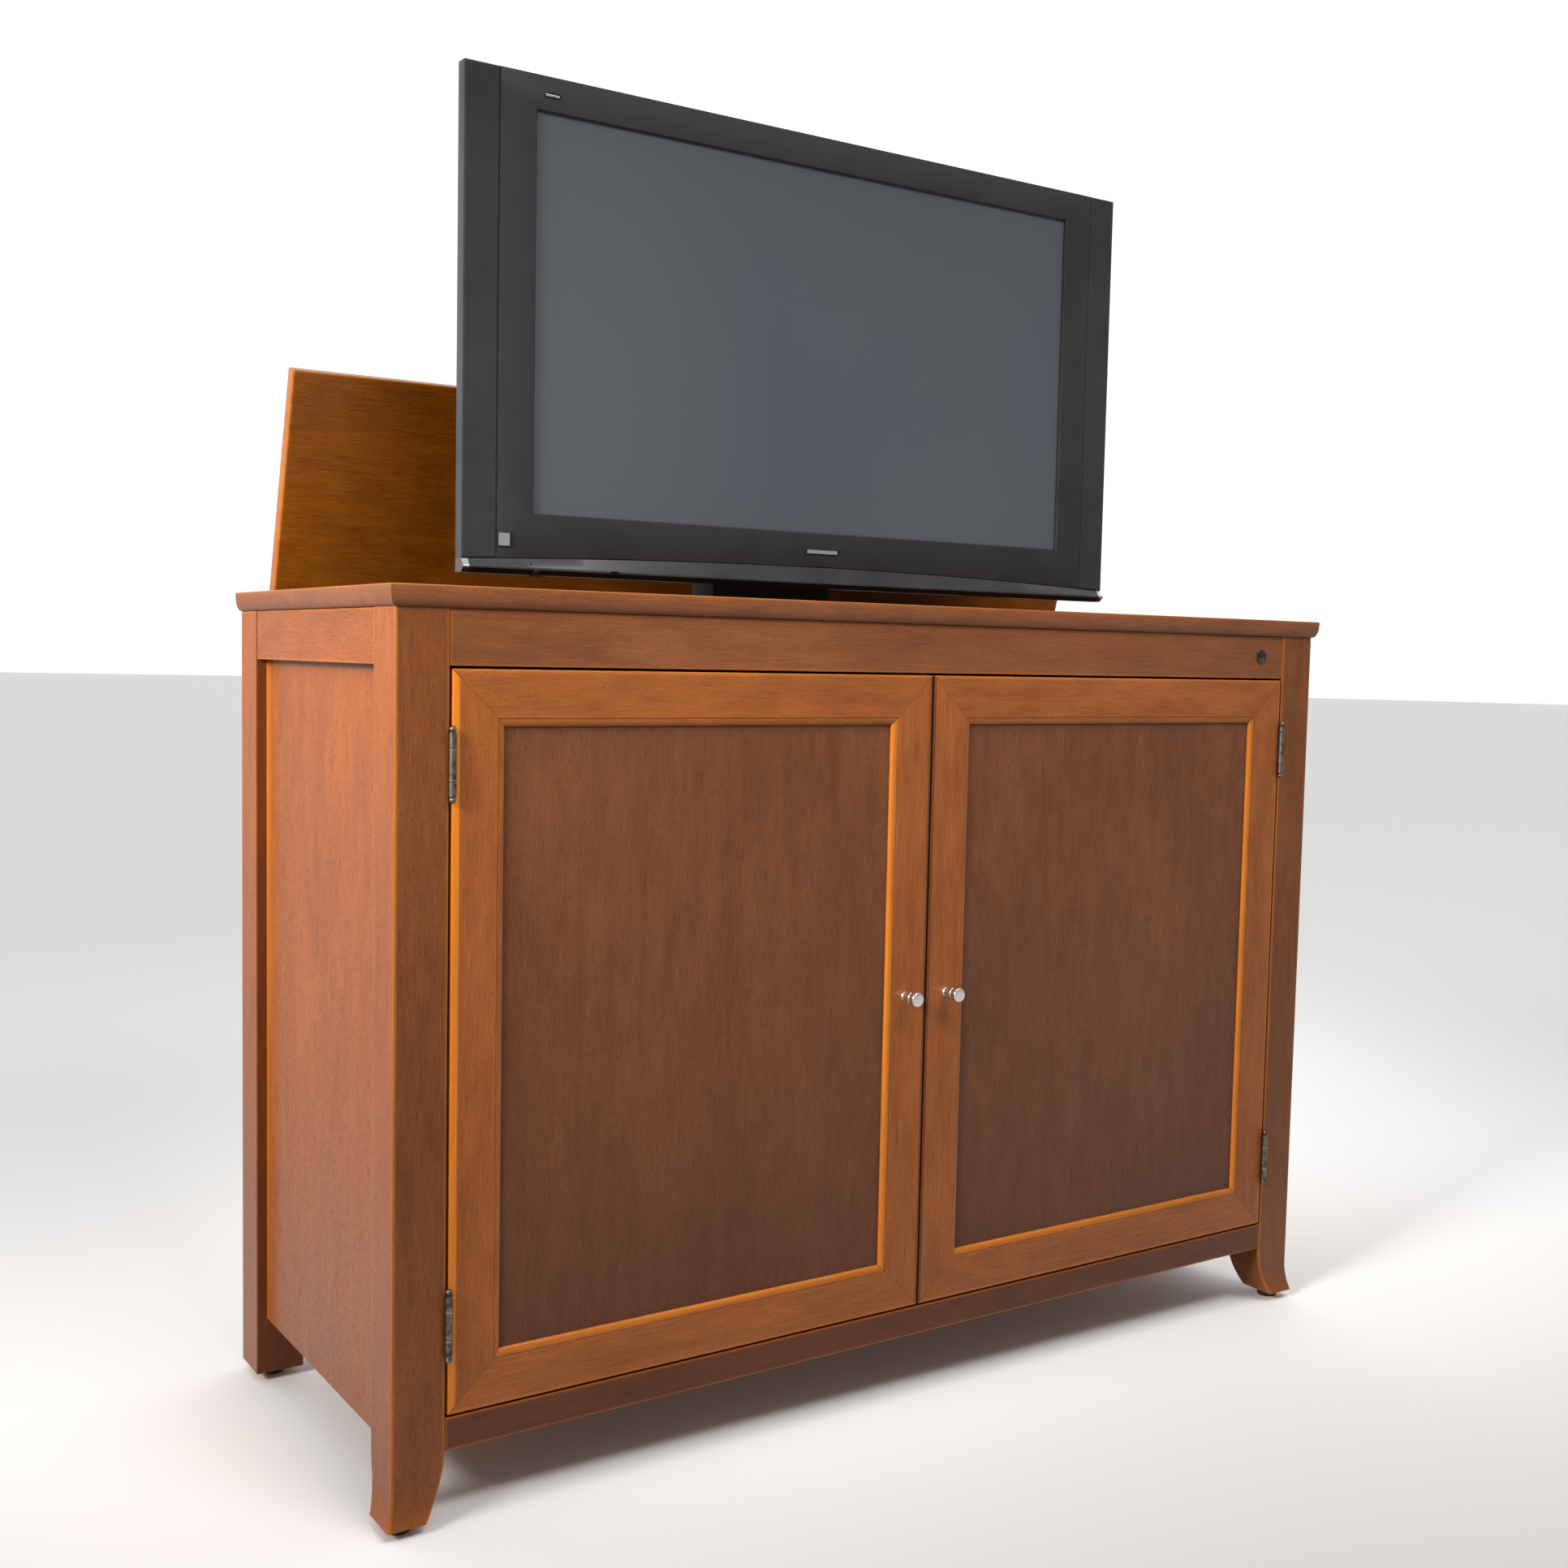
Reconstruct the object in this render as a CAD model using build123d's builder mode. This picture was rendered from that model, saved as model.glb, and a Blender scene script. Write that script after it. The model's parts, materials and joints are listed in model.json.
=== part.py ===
"""A flip-lid television lift cabinet, standing with its television raised and its lid open.

Frame: +X to the right along the front, the front faces -Y, +Z up. The origin is on the floor,
under the middle of the cabinet's body. All sizes are in millimetres.
"""
import os
from math import acos, atan2, cos, hypot, sin

from build123d import *

os.makedirs("parts", exist_ok=True)

# ---------------------------------------------------------------- cabinet sizes
BODY_WIDTH = 1514.0
BODY_DEPTH = 573.0
CABINET_HEIGHT = 1090.0
SLAB_THICK = 25.0
SLAB_OVERHANG = 8.0
SLAB_LIP = 9.0              # height of the upright band at the top of the slab's moulded edge
POST_WIDTH = 65.0
POST_DEPTH = 67.0
FOOT_FLARE = 7.5            # how far each front foot kicks out, sideways and forwards
FOOT_WIDTH = 48.0
FOOT_DEPTH = 58.0
FLARE_START = 58.0
TAPER_START = 92.0
GLIDE_HEIGHT = 12.0
GLIDE_RADIUS = 15.0
TOP_RAIL_HEIGHT = 65.0
BOTTOM_RAIL_HEIGHT = 39.5
SKIRT_HEIGHT = 90.0         # floor to the underside of the front bottom rail
RAIL_THICK = 20.0
RAIL_SETBACK = 1.0          # rails stand this far behind the faces of the posts
SIDE_RAIL_THICK = 45.0      # thick enough to hold up the sides of the shut lid
PANEL_RECESS = 14.0
PANEL_THICK = 12.0
BOARD_THICK = 18.0
BACK_THICK = 12.0
CABLE_HOLE_RADIUS = 30.0
CABLE_HOLE_X = 480.0
CABLE_HOLE_Z = 260.0

# ---------------------------------------------------------------- doors and their hardware
DOOR_GAP = 3.0
DOOR_THICK = 20.0
DOOR_BACK_GAP = 1.0         # partition and shelves behind the doors
FRAME_FLAT = 56.0           # flat face of a stile or rail
FRAME_BEVEL = 10.0          # moulded inner edge, inwards
BEVEL_DEPTH = 5.0           # moulded inner edge, backwards
GROOVE_DEPTH = 8.0
DOOR_PANEL_THICK = 6.0
PANEL_SETBACK = 6.0         # door panel's face behind the frame's face
GROOVE_SLACK = 1.0
HINGE_INSET = 108.0         # middle of a hinge from the end of the door
HINGE_LENGTH = 72.0
HINGE_MIDDLE = 34.0         # length of the door's knuckle
HINGE_BARREL = 4.5
HINGE_PIN = 2.0
PIN_CLEARANCE = 0.05
BARREL_STANDOFF = 0.5       # barrel clear of the front faces
KNUCKLE_GAP = 0.3
LEAF_THICK = 1.3
LEAF_INSET = 2.0            # leaf's rear edge in front of the door's back
FINIAL_RADIUS = 4.0
FINIAL_NECK = 1.2           # pin standing out of the end knuckles, inside the finials
FINIAL_GAP = 0.2            # finial clear of the end knuckle
LEAF_LAP = 1.0              # overlap where the two parts of a leaf are joined
KNOB_INSET = 34.0           # knob's axis from the meeting edge of its door
KNOB_PROJECTION = 30.0
KNOB_FACE_RADIUS = 9.5
KNOB_EASE = 1.4             # rounding of the knob's face
KNOB_RIM_BACK = 20.4        # distance from the door to the back of the face's rim
KNOB_RIM_CHAMFER = 1.0      # sloping back of the rim
KNOB_GROOVE_RADIUS = 7.3
KNOB_GROOVE = (17.8, 18.7)  # groove between bell and face, as distances from the door
KNOB_BELL = (3.0, 15.5)     # bell, as distances from the door
KNOB_BELL_RADII = (5.4, 7.4, 8.4)
KNOB_FOOT_RADIUS = 6.4
KNOB_FOOT_THICK = 1.2
EYE_RADIUS = 11.0
EYE_INSET = 49.0            # infrared eye's axis from the right post
EYE_PROUD = 2.0
EYE_BARREL_RADIUS = 8.0
EYE_EASE = 1.2              # rounding of the eye's face

# ---------------------------------------------------------------- lid
LID_WIDTH = 1434.0
LID_DEPTH = 309.0
LID_THICK = 22.0
LID_GAP = 2.5
DIVIDER_GAP = 3.0           # divider in front of the well's opening
LID_CLEARANCE = 9.9         # open lid's free edge behind the lift's inner column
LID_PIN_BACK = 4.5          # hinge pin behind the cabinet's back
LID_PIN_DROP = 4.0          # hinge pin below the top face
LID_SETBACK = 1.5           # lid's rear edge in front of the cabinet's back
LID_BARREL = 5.0
LID_HINGE_LENGTH = 90.0
LID_HINGE_MIDDLE = 36.0
LID_HINGE_SPREAD = 560.0
LID_LEAF_DROP = 44.0
LID_PIN_END = 1.0           # pin standing out of the end knuckles

# ---------------------------------------------------------------- television
TV_GAP = 14.5               # television's face behind the front edge of the well
TV_RISE = 47.0              # raised television's bottom corners above the cabinet's top face
TV_SINK = 36.0              # lowered television's top below the cabinet's top face
TV_WIDTH = 1125.0
TV_HEIGHT = 627.0
TV_ARCH = 13.0              # rise of the bezel's bottom edge at its middle
TV_FACE_DEPTH = 20.0
TV_BACK_DEPTH = 78.0
TV_WALL = 3.0
COVER_INSET = 12.0          # rear cover inside the bezel's outline
COVER_CHAMFER = 25.0
COVER_STEP = 0.6            # share of the rear cover's depth before it narrows
ARCH_CLEARANCE = 2.0        # rear cover above the top of the arch
SCREEN_WIDTH = 922.0
SCREEN_RATIO = 9 / 16
SCREEN_CHIN = 63.0          # bezel below the screen, at its bottom corners
SCREEN_SETBACK = 5.0
GLASS_THICK = 3.0
GLASS_MARGIN = 12.0         # glass behind the bezel, all round
DISPLAY_THICK = 12.0
DISPLAY_GAP = 1.0           # air between the glass and the display panel
SPEAKER_WIDTH = 49.0
SEAM_GAP = 0.6
TRIM_DROP = 18.0            # lower trim below the bezel's bottom corners
TRIM_LIP = 6.0              # trim's lip in front of the bezel
TRIM_CAP = 9.0
BUTTON_SIZE = (16.0, 6.0, 6.0)
BUTTON_X = -453.0
BUTTON_PROUD = 2.0
BUTTON_GAP = 0.4
BUTTON_SETBACK = 6.0        # button behind the bezel's face
INLET_SIZE = (28.0, 22.0, 20.0)
INLET_X = 260.0
INLET_RISE = 60.0           # inlet's middle above the rear cover's bottom
INLET_PROUD = 1.0

# ---------------------------------------------------------------- lift
COLUMN_WIDTH = 220.0
COLUMN_DEPTH = 70.0
COLUMN_WALL = 3.0
COLUMN_GAP = 26.0           # column behind the television, with its bracket between
COLUMN_TOP_GAP = 75.0       # outer column's top below the cabinet's top face
STAGE_GAP = 2.0
STAGE_WALL = 3.0
STAGE_TOP_GAP = 60.0        # lowered inner column's top below the cabinet's top face
BASE_THICK = 6.0
BASE_WIDTH = 420.0
BASE_DEPTH = 180.0
SCREW_RADIUS = 7.0
SCREW_CLEARANCE = 0.08
NUT_HEIGHT = 30.0
SCREW_END = 40.0            # screw standing above the raised nut
MOTOR_RADIUS = 28.0
MOTOR_LENGTH = 130.0
GEARBOX_WIDTH = 70.0
GEARBOX_HEIGHT = 40.0
STAGE_FOOT_GAP = 5.0        # lowered inner column above the gear housing
DRIVE_BRIDGE = (30.0, 26.0)  # depth and height of the gear housing's arm to the motor
BRIDGE_GAP = 1.0
MOTOR_GAP = 4.0             # motor beside the outer column
MOUNT_PLATE_THICK = 5.0
MOUNT_PLATE_GAP = 3.0       # plate in front of the outer column
MOUNT_PLATE_WIDTH = 180.0
MOUNT_PLATE_HEIGHT = 510.0
MOUNT_BAR_HEIGHT = 40.0
MOUNT_BAR_WIDTH = 560.0
MOUNT_BAR_THICK = 3.0
MOUNT_ARM_WIDTH = 30.0
MOUNT_ARM_SPREAD = 400.0
MOUNT_ARM_HEIGHT = 440.0
LIFTER_ARM_THICK = 5.0
LIFTER_ARM_GAP = 4.0        # arm beside the outer column
LIFTER_LAP = 10.0           # arm's foot inwards of the plate's edge
LIFTER_ARM_HEIGHT = 30.0
LIFTER_BAR_RADIUS = 9.0
LIFTER_REACH = 200.0        # contact with the open lid, from the hinge pin
LIFTER_CLEARANCE = 0.4
CONTROL_BOX = (210.0, 40.0, 90.0)
CONTROL_BOX_RISE = 60.0     # above the bottom board
CONTROL_BOX_GAP = 90.0      # beside the outer column

# ---------------------------------------------------------------- shelves
SHELF_HEIGHT = 560.0
SHELF_CLEARANCE = 1.5
SHELF_PIN_RADIUS = 2.5
SHELF_PIN_OUT = 9.0
SHELF_PIN_IN = 8.0
SHELF_PIN_PITCH = 32.0
SHELF_PIN_HOLES = 3
CATCH_SIZE = (46.0, 16.0, 14.0)
STRIKE_SIZE = (34.0, 1.6, 12.0)
STRIKE_DROP = 2.0           # strike plate below the top of its door
CATCH_LEAD = 6.0            # catch's end beyond the end of the strike plate
CATCH_GAP = 0.3
REAR_PIN_INSET = 30.0       # rear shelf pins in front of the well divider

# ---------------------------------------------------------------- places that follow
half_width = BODY_WIDTH / 2
front = -BODY_DEPTH / 2
back = BODY_DEPTH / 2
rail_top = CABINET_HEIGHT - SLAB_THICK
rail_bottom = rail_top - TOP_RAIL_HEIGHT
bay_floor = SKIRT_HEIGHT + BOTTOM_RAIL_HEIGHT
post_inner = half_width - POST_WIDTH
panel_outer = half_width - PANEL_RECESS
panel_inner = panel_outer - PANEL_THICK
post_back = front + POST_DEPTH
rear_post_front = back - POST_DEPTH
door_bottom = bay_floor + DOOR_GAP
door_top = rail_bottom - DOOR_GAP
door_height = door_top - door_bottom
door_width = post_inner - DOOR_GAP * 1.5
door_middle = (door_bottom + door_top) / 2
frame_width = FRAME_FLAT + FRAME_BEVEL
hinge_x = post_inner - DOOR_GAP / 2
hinge_y = front - HINGE_BARREL - BARREL_STANDOFF
hinge_heights = (door_bottom + HINGE_INSET, door_top - HINGE_INSET)
knob_x = DOOR_GAP / 2 + KNOB_INSET
lid_pin_y = back + LID_PIN_BACK
lid_pin_z = CABINET_HEIGHT - LID_PIN_DROP
lid_start = LID_PIN_BACK + LID_SETBACK
lid_free_edge = back - LID_SETBACK - LID_DEPTH
well_front = lid_free_edge - LID_GAP
divider_back = well_front - DIVIDER_GAP
divider_front = divider_back - PANEL_THICK
tv_bottom = CABINET_HEIGHT + TV_RISE
tv_top = tv_bottom + TV_HEIGHT
tv_half = TV_WIDTH / 2
tv_front = well_front + TV_GAP
tv_face_back = tv_front + TV_FACE_DEPTH
tv_back = tv_face_back + TV_BACK_DEPTH
screen_bottom = tv_bottom + SCREEN_CHIN
screen_height = SCREEN_WIDTH * SCREEN_RATIO
screen_middle = screen_bottom + screen_height / 2
trim_bottom = tv_bottom - TRIM_DROP
lift_travel = TV_RISE + TV_HEIGHT + TV_SINK
column_front = tv_back + COLUMN_GAP
column_back = column_front + COLUMN_DEPTH
column_middle = (column_front + column_back) / 2
column_foot = bay_floor + BASE_THICK
column_top = CABINET_HEIGHT - COLUMN_TOP_GAP
stage_half_width = COLUMN_WIDTH / 2 - COLUMN_WALL - STAGE_GAP
stage_half_depth = COLUMN_DEPTH / 2 - COLUMN_WALL - STAGE_GAP
stage_top = CABINET_HEIGHT - STAGE_TOP_GAP + lift_travel
stage_bottom = column_foot + GEARBOX_HEIGHT + STAGE_FOOT_GAP + lift_travel
sides = (("left", -1), ("right", 1))


# ---------------------------------------------------------------- helpers
def block(low, high, mode=Mode.ADD):
    """Add (or cut) a rectangular block between two opposite corners."""
    size = [b - a for a, b in zip(low, high)]
    middle = Vector(*[(a + b) / 2 for a, b in zip(low, high)])
    with Locations(middle):
        Box(*size, mode=mode)


def mirrored_block(sign, low, high, mode=Mode.ADD):
    """A block given for the right side, placed on the right (sign 1) or the left (sign -1)."""
    ends = sorted((sign * low[0], sign * high[0]))
    block((ends[0], low[1], low[2]), (ends[1], high[1], high[2]), mode)


def front_plane(y):
    """A sketch plane seen from the front: local x is X, local y is Z."""
    return Plane(origin=(0, y, 0), x_dir=(1, 0, 0), z_dir=(0, -1, 0))


def side_plane(x=0):
    """A sketch plane seen from the right: local x is Y, local y is Z."""
    return Plane(origin=(x, 0, 0), x_dir=(0, 1, 0), z_dir=(1, 0, 0))


def upright_cylinder(x, y, low, high, radius, mode=Mode.ADD):
    """A round bar or hole along Z between two heights."""
    with BuildSketch(Plane.XY.offset(low)) as disc:
        with Locations((x, y)):
            Circle(radius)
    extrude(disc.sketch, amount=high - low, mode=mode)


def save(builder, name):
    """Label a finished piece and write its STEP file."""
    builder.part.label = name
    export_step(builder.part, f"parts/{name}.step")


# ---------------------------------------------------------------- legs and glides
def leg_outline(outer, inward, width, foot_width):
    """A front leg seen square on: an upright post whose foot tapers inside and flares outside."""
    inner = outer + inward * width
    toe = outer - inward * FOOT_FLARE
    heel = toe + inward * foot_width
    with BuildLine() as outline:
        Line((outer, rail_top), (outer, FLARE_START))
        TangentArc((outer, FLARE_START), (toe, GLIDE_HEIGHT), tangent=(0, -1))
        Line((toe, GLIDE_HEIGHT), (heel, GLIDE_HEIGHT))
        TangentArc((inner, TAPER_START), (heel, GLIDE_HEIGHT), tangent=(0, -1))
        Line((inner, TAPER_START), (inner, rail_top))
        Line((inner, rail_top), (outer, rail_top))
    make_face(outline.line)


def shelf_pin_heights():
    """Heights of the row of shelf-pin holes, the middle one in use."""
    first = SHELF_HEIGHT - SHELF_PIN_RADIUS - SHELF_PIN_PITCH * (SHELF_PIN_HOLES // 2)
    return [first + SHELF_PIN_PITCH * n for n in range(SHELF_PIN_HOLES)]


def shelf_pin_bar(x, y, z, direction, length, mode=Mode.ADD):
    """A shelf pin's round bar (or its hole) along X, starting at a face."""
    with BuildSketch(Plane(origin=(x, y, z), x_dir=(0, 1, 0), z_dir=(direction, 0, 0))) as disc:
        Circle(SHELF_PIN_RADIUS)
    extrude(disc.sketch, amount=length, mode=mode)


def shelf_pin_holes(x, direction, y):
    """Blind holes along X for shelf pins, cut from the face at x into the wood."""
    for z in shelf_pin_heights():
        shelf_pin_bar(x, y, z, direction, SHELF_PIN_IN, Mode.SUBTRACT)


front_pin_y = (front + DOOR_THICK + post_back) / 2
rear_pin_y = divider_front - REAR_PIN_INSET

for side, sign in sides:
    with BuildPart() as front_leg:
        with BuildSketch(front_plane(front - FOOT_FLARE)):
            leg_outline(sign * half_width, -sign, POST_WIDTH, FOOT_WIDTH)
        extrude(amount=-(POST_DEPTH + FOOT_FLARE))
        with BuildSketch(side_plane()):
            leg_outline(front, 1, POST_DEPTH, FOOT_DEPTH)
        extrude(amount=half_width + FOOT_FLARE, both=True, mode=Mode.INTERSECT)
        shelf_pin_holes(sign * post_inner, sign, front_pin_y)
    save(front_leg, f"front_{side}_leg")

    with BuildPart() as back_leg:
        mirrored_block(sign, (post_inner, rear_post_front, GLIDE_HEIGHT), (half_width, back, rail_top))
    save(back_leg, f"back_{side}_leg")

front_glide = (half_width + FOOT_FLARE - FOOT_WIDTH / 2, front - FOOT_FLARE + FOOT_DEPTH / 2)
back_glide = (half_width - POST_WIDTH / 2, back - POST_DEPTH / 2)
with BuildPart() as glides:
    for x, y in (front_glide, back_glide):
        for side, sign in sides:
            upright_cylinder(sign * x, y, 0, GLIDE_HEIGHT, GLIDE_RADIUS)
save(glides, "leg_glides")

# ---------------------------------------------------------------- side frames
for side, sign in sides:
    with BuildPart() as side_rail:
        face = half_width - RAIL_SETBACK
        mirrored_block(
            sign,
            (face - SIDE_RAIL_THICK, post_back, rail_bottom),
            (face, rear_post_front, rail_top),
        )
    save(side_rail, f"{side}_side_rail")

    with BuildPart() as side_panel:
        mirrored_block(
            sign,
            (panel_inner, post_back, SKIRT_HEIGHT),
            (panel_outer, rear_post_front, rail_bottom),
        )
        shelf_pin_holes(sign * panel_inner, sign, rear_pin_y)
    save(side_panel, f"{side}_side_panel")

# ---------------------------------------------------------------- front and back rails
eye_x = post_inner - EYE_INSET
eye_z = (rail_bottom + rail_top) / 2
rail_face = front + RAIL_SETBACK
with BuildPart() as top_rail:
    block((-post_inner, rail_face, rail_bottom), (post_inner, rail_face + RAIL_THICK, rail_top))
    with BuildSketch(front_plane(rail_face)):
        with Locations((eye_x, eye_z)):
            Circle(EYE_BARREL_RADIUS)
    extrude(amount=-RAIL_THICK, mode=Mode.SUBTRACT)
save(top_rail, "front_top_rail")

with BuildPart() as bottom_rail:
    block((-post_inner, rail_face, SKIRT_HEIGHT), (post_inner, rail_face + RAIL_THICK, bay_floor))
save(bottom_rail, "front_bottom_rail")

with BuildPart() as back_rail:
    block((-post_inner, back - RAIL_THICK, rail_bottom), (post_inner, back, rail_top))
save(back_rail, "back_top_rail")

with BuildPart() as eye:
    with BuildSketch(front_plane(rail_face)):
        with Locations((eye_x, eye_z)):
            Circle(EYE_RADIUS)
    extrude(amount=EYE_PROUD)
    with BuildSketch(front_plane(rail_face)):
        with Locations((eye_x, eye_z)):
            Circle(EYE_BARREL_RADIUS)
    extrude(amount=-RAIL_THICK)
    fillet(eye.faces().sort_by(Axis.Y)[0].edges(), EYE_EASE)
save(eye, "infrared_eye")

# ---------------------------------------------------------------- boards inside
board_front = rail_face + RAIL_THICK
bay_front = front + DOOR_THICK + DOOR_BACK_GAP
board_back = back - BACK_THICK
with BuildPart() as floor_board:
    low = bay_floor - BOARD_THICK
    block((-panel_inner, board_front, low), (panel_inner, board_back, bay_floor))
    for side, sign in sides:
        for ends in ((board_front, post_back), (rear_post_front, board_back)):
            mirrored_block(
                sign,
                (post_inner, ends[0], low),
                (panel_inner, ends[1], bay_floor),
                Mode.SUBTRACT,
            )
save(floor_board, "bottom_board")

with BuildPart() as back_board:
    block((-post_inner, board_back, bay_floor - BOARD_THICK), (post_inner, back, rail_bottom))
    with BuildSketch(front_plane(board_back)):
        with Locations((-CABLE_HOLE_X, CABLE_HOLE_Z), (CABLE_HOLE_X, CABLE_HOLE_Z)):
            Circle(CABLE_HOLE_RADIUS)
    extrude(amount=-BACK_THICK, mode=Mode.SUBTRACT)
save(back_board, "back_panel")

with BuildPart() as divider:
    block((-panel_inner, divider_front, bay_floor), (panel_inner, divider_back, rail_bottom))
    inner_rail_face = half_width - RAIL_SETBACK - SIDE_RAIL_THICK
    block((-inner_rail_face, divider_front, rail_bottom), (inner_rail_face, divider_back, rail_top))
save(divider, "well_divider")

with BuildPart() as partition:
    half_board = BOARD_THICK / 2
    block((-half_board, bay_front, bay_floor), (half_board, divider_front, rail_bottom))
    block((-half_board, board_front, rail_bottom), (half_board, divider_front, rail_top))
    for side, sign in sides:
        for y in (front_pin_y, rear_pin_y):
            shelf_pin_holes(sign * BOARD_THICK / 2, -sign, y)
save(partition, "bay_partition")

shelf_inner = BOARD_THICK / 2 + SHELF_CLEARANCE
shelf_front = bay_front + SHELF_CLEARANCE
shelf_back = divider_front - SHELF_CLEARANCE
with BuildPart() as shelves:
    for side, sign in sides:
        mirrored_block(
            sign,
            (shelf_inner, shelf_front, SHELF_HEIGHT),
            (panel_inner - SHELF_CLEARANCE, shelf_back, SHELF_HEIGHT + BOARD_THICK),
        )
        mirrored_block(
            sign,
            (post_inner - SHELF_CLEARANCE, shelf_front, SHELF_HEIGHT),
            (panel_inner, post_back + SHELF_CLEARANCE, SHELF_HEIGHT + BOARD_THICK),
            Mode.SUBTRACT,
        )
save(shelves, "adjustable_shelves")

pin_z = SHELF_HEIGHT - SHELF_PIN_RADIUS
pin_places = (
    (BOARD_THICK / 2, front_pin_y, -1),
    (BOARD_THICK / 2, rear_pin_y, -1),
    (post_inner, front_pin_y, 1),
    (panel_inner, rear_pin_y, 1),
)
with BuildPart() as shelf_pins:
    for side, sign in sides:
        for x, y, into in pin_places:
            shelf_pin_bar(sign * x, y, pin_z, sign * into, SHELF_PIN_IN)
            shelf_pin_bar(sign * x, y, pin_z, -sign * into, SHELF_PIN_OUT)
save(shelf_pins, "shelf_pins")

# ---------------------------------------------------------------- top slab and lid
slab_half = half_width + SLAB_OVERHANG
opening_half = LID_WIDTH / 2 + LID_GAP
with BuildPart() as slab:
    with BuildSketch(front_plane(front - SLAB_OVERHANG)):
        with BuildLine():
            Polyline(
                (-half_width, rail_top),
                (-slab_half, CABINET_HEIGHT - SLAB_LIP),
                (-slab_half, CABINET_HEIGHT),
                (slab_half, CABINET_HEIGHT),
                (slab_half, CABINET_HEIGHT - SLAB_LIP),
                (half_width, rail_top),
                close=True,
            )
        make_face()
    extrude(amount=-(BODY_DEPTH + SLAB_OVERHANG))
    with BuildSketch(side_plane()):
        with BuildLine():
            Polyline(
                (front, rail_top),
                (front - SLAB_OVERHANG, CABINET_HEIGHT - SLAB_LIP),
                (front - SLAB_OVERHANG, CABINET_HEIGHT),
                (back, CABINET_HEIGHT),
                (back, rail_top),
                close=True,
            )
        make_face()
    extrude(amount=slab_half, both=True, mode=Mode.INTERSECT)
    block((-opening_half, well_front, 0), (opening_half, back, CABINET_HEIGHT), Mode.SUBTRACT)
save(slab, "top_slab")

# Sketches on the lid's plane: local x runs from the hinge pin towards the free edge, local y
# rises towards the face that is uppermost when the lid is shut.
#
# The free edge of the open lid's underside clears the inner column: with L the lid's reach and t its
# underside's drop, both from the pin, L cos(angle) + t sin(angle) is the room between pin and edge.
lid_face = LID_PIN_DROP
lid_underside = LID_PIN_DROP - LID_THICK
lid_reach = lid_start + LID_DEPTH
lid_room = lid_pin_y - (column_middle + stage_half_depth) - LID_CLEARANCE
open_angle = atan2(-lid_underside, lid_reach) + acos(lid_room / hypot(lid_reach, lid_underside))
along_lid = Vector(0, -cos(open_angle), sin(open_angle))
out_of_lid = Vector(0, sin(open_angle), cos(open_angle))
lid_plane = Plane(
    origin=(0, lid_pin_y, lid_pin_z), x_dir=along_lid, z_dir=along_lid.cross(out_of_lid)
)


def lid_block(low, high, x_low, x_high, mode=Mode.ADD):
    """A block on the open lid: corners on the lid's plane, and its two ends along X."""
    with BuildSketch(lid_plane.offset(-x_high)) as section:
        with Locations(((low[0] + high[0]) / 2, (low[1] + high[1]) / 2)):
            Rectangle(high[0] - low[0], high[1] - low[1])
    extrude(section.sketch, amount=x_high - x_low, mode=mode)


with BuildPart() as lid:
    lid_block(
        (lid_start, lid_underside), (lid_start + LID_DEPTH, lid_face), -LID_WIDTH / 2, LID_WIDTH / 2
    )
save(lid, "lid_board")

lid_hinge_places = (-LID_HINGE_SPREAD, 0, LID_HINGE_SPREAD)
barrel_clear = LID_BARREL + BARREL_STANDOFF
half_length = LID_HINGE_LENGTH / 2
half_knuckle = LID_HINGE_MIDDLE / 2
end_knuckles = (
    (-half_length, -half_knuckle - KNUCKLE_GAP),
    (half_knuckle + KNUCKLE_GAP, half_length),
)


def lid_barrel(x_low, x_high, radius, mode=Mode.ADD):
    """A round length of the lid hinge between two places along X."""
    with BuildSketch(side_plane(x_low)) as section:
        with Locations((lid_pin_y, lid_pin_z)):
            Circle(radius)
    extrude(section.sketch, amount=x_high - x_low, mode=mode)


with BuildPart() as fixed_leaves:
    for x in lid_hinge_places:
        block(
            (x - half_length, back, lid_pin_z - LID_LEAF_DROP),
            (x + half_length, back + LEAF_THICK, lid_pin_z - barrel_clear),
        )
        for low, high in end_knuckles:
            block(
                (x + low, back, lid_pin_z - barrel_clear - LEAF_LAP),
                (x + high, back + LEAF_THICK, lid_pin_z),
            )
            lid_barrel(x + low, x + high, LID_BARREL)
        lid_barrel(x - half_length, x + half_length, HINGE_PIN + PIN_CLEARANCE, Mode.SUBTRACT)
save(fixed_leaves, "lid_hinge_fixed_leaves")

with BuildPart() as moving_leaves:
    leaf_low = lid_start - LEAF_THICK
    for x in lid_hinge_places:
        lid_block(
            (leaf_low, lid_underside), (lid_start, -barrel_clear), x - half_length, x + half_length
        )
        lid_block(
            (leaf_low, -barrel_clear - LEAF_LAP), (lid_start, 0), x - half_knuckle, x + half_knuckle
        )
        lid_barrel(x - half_knuckle, x + half_knuckle, LID_BARREL)
        lid_barrel(x - half_length, x + half_length, HINGE_PIN + PIN_CLEARANCE, Mode.SUBTRACT)
save(moving_leaves, "lid_hinge_moving_leaves")

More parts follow.
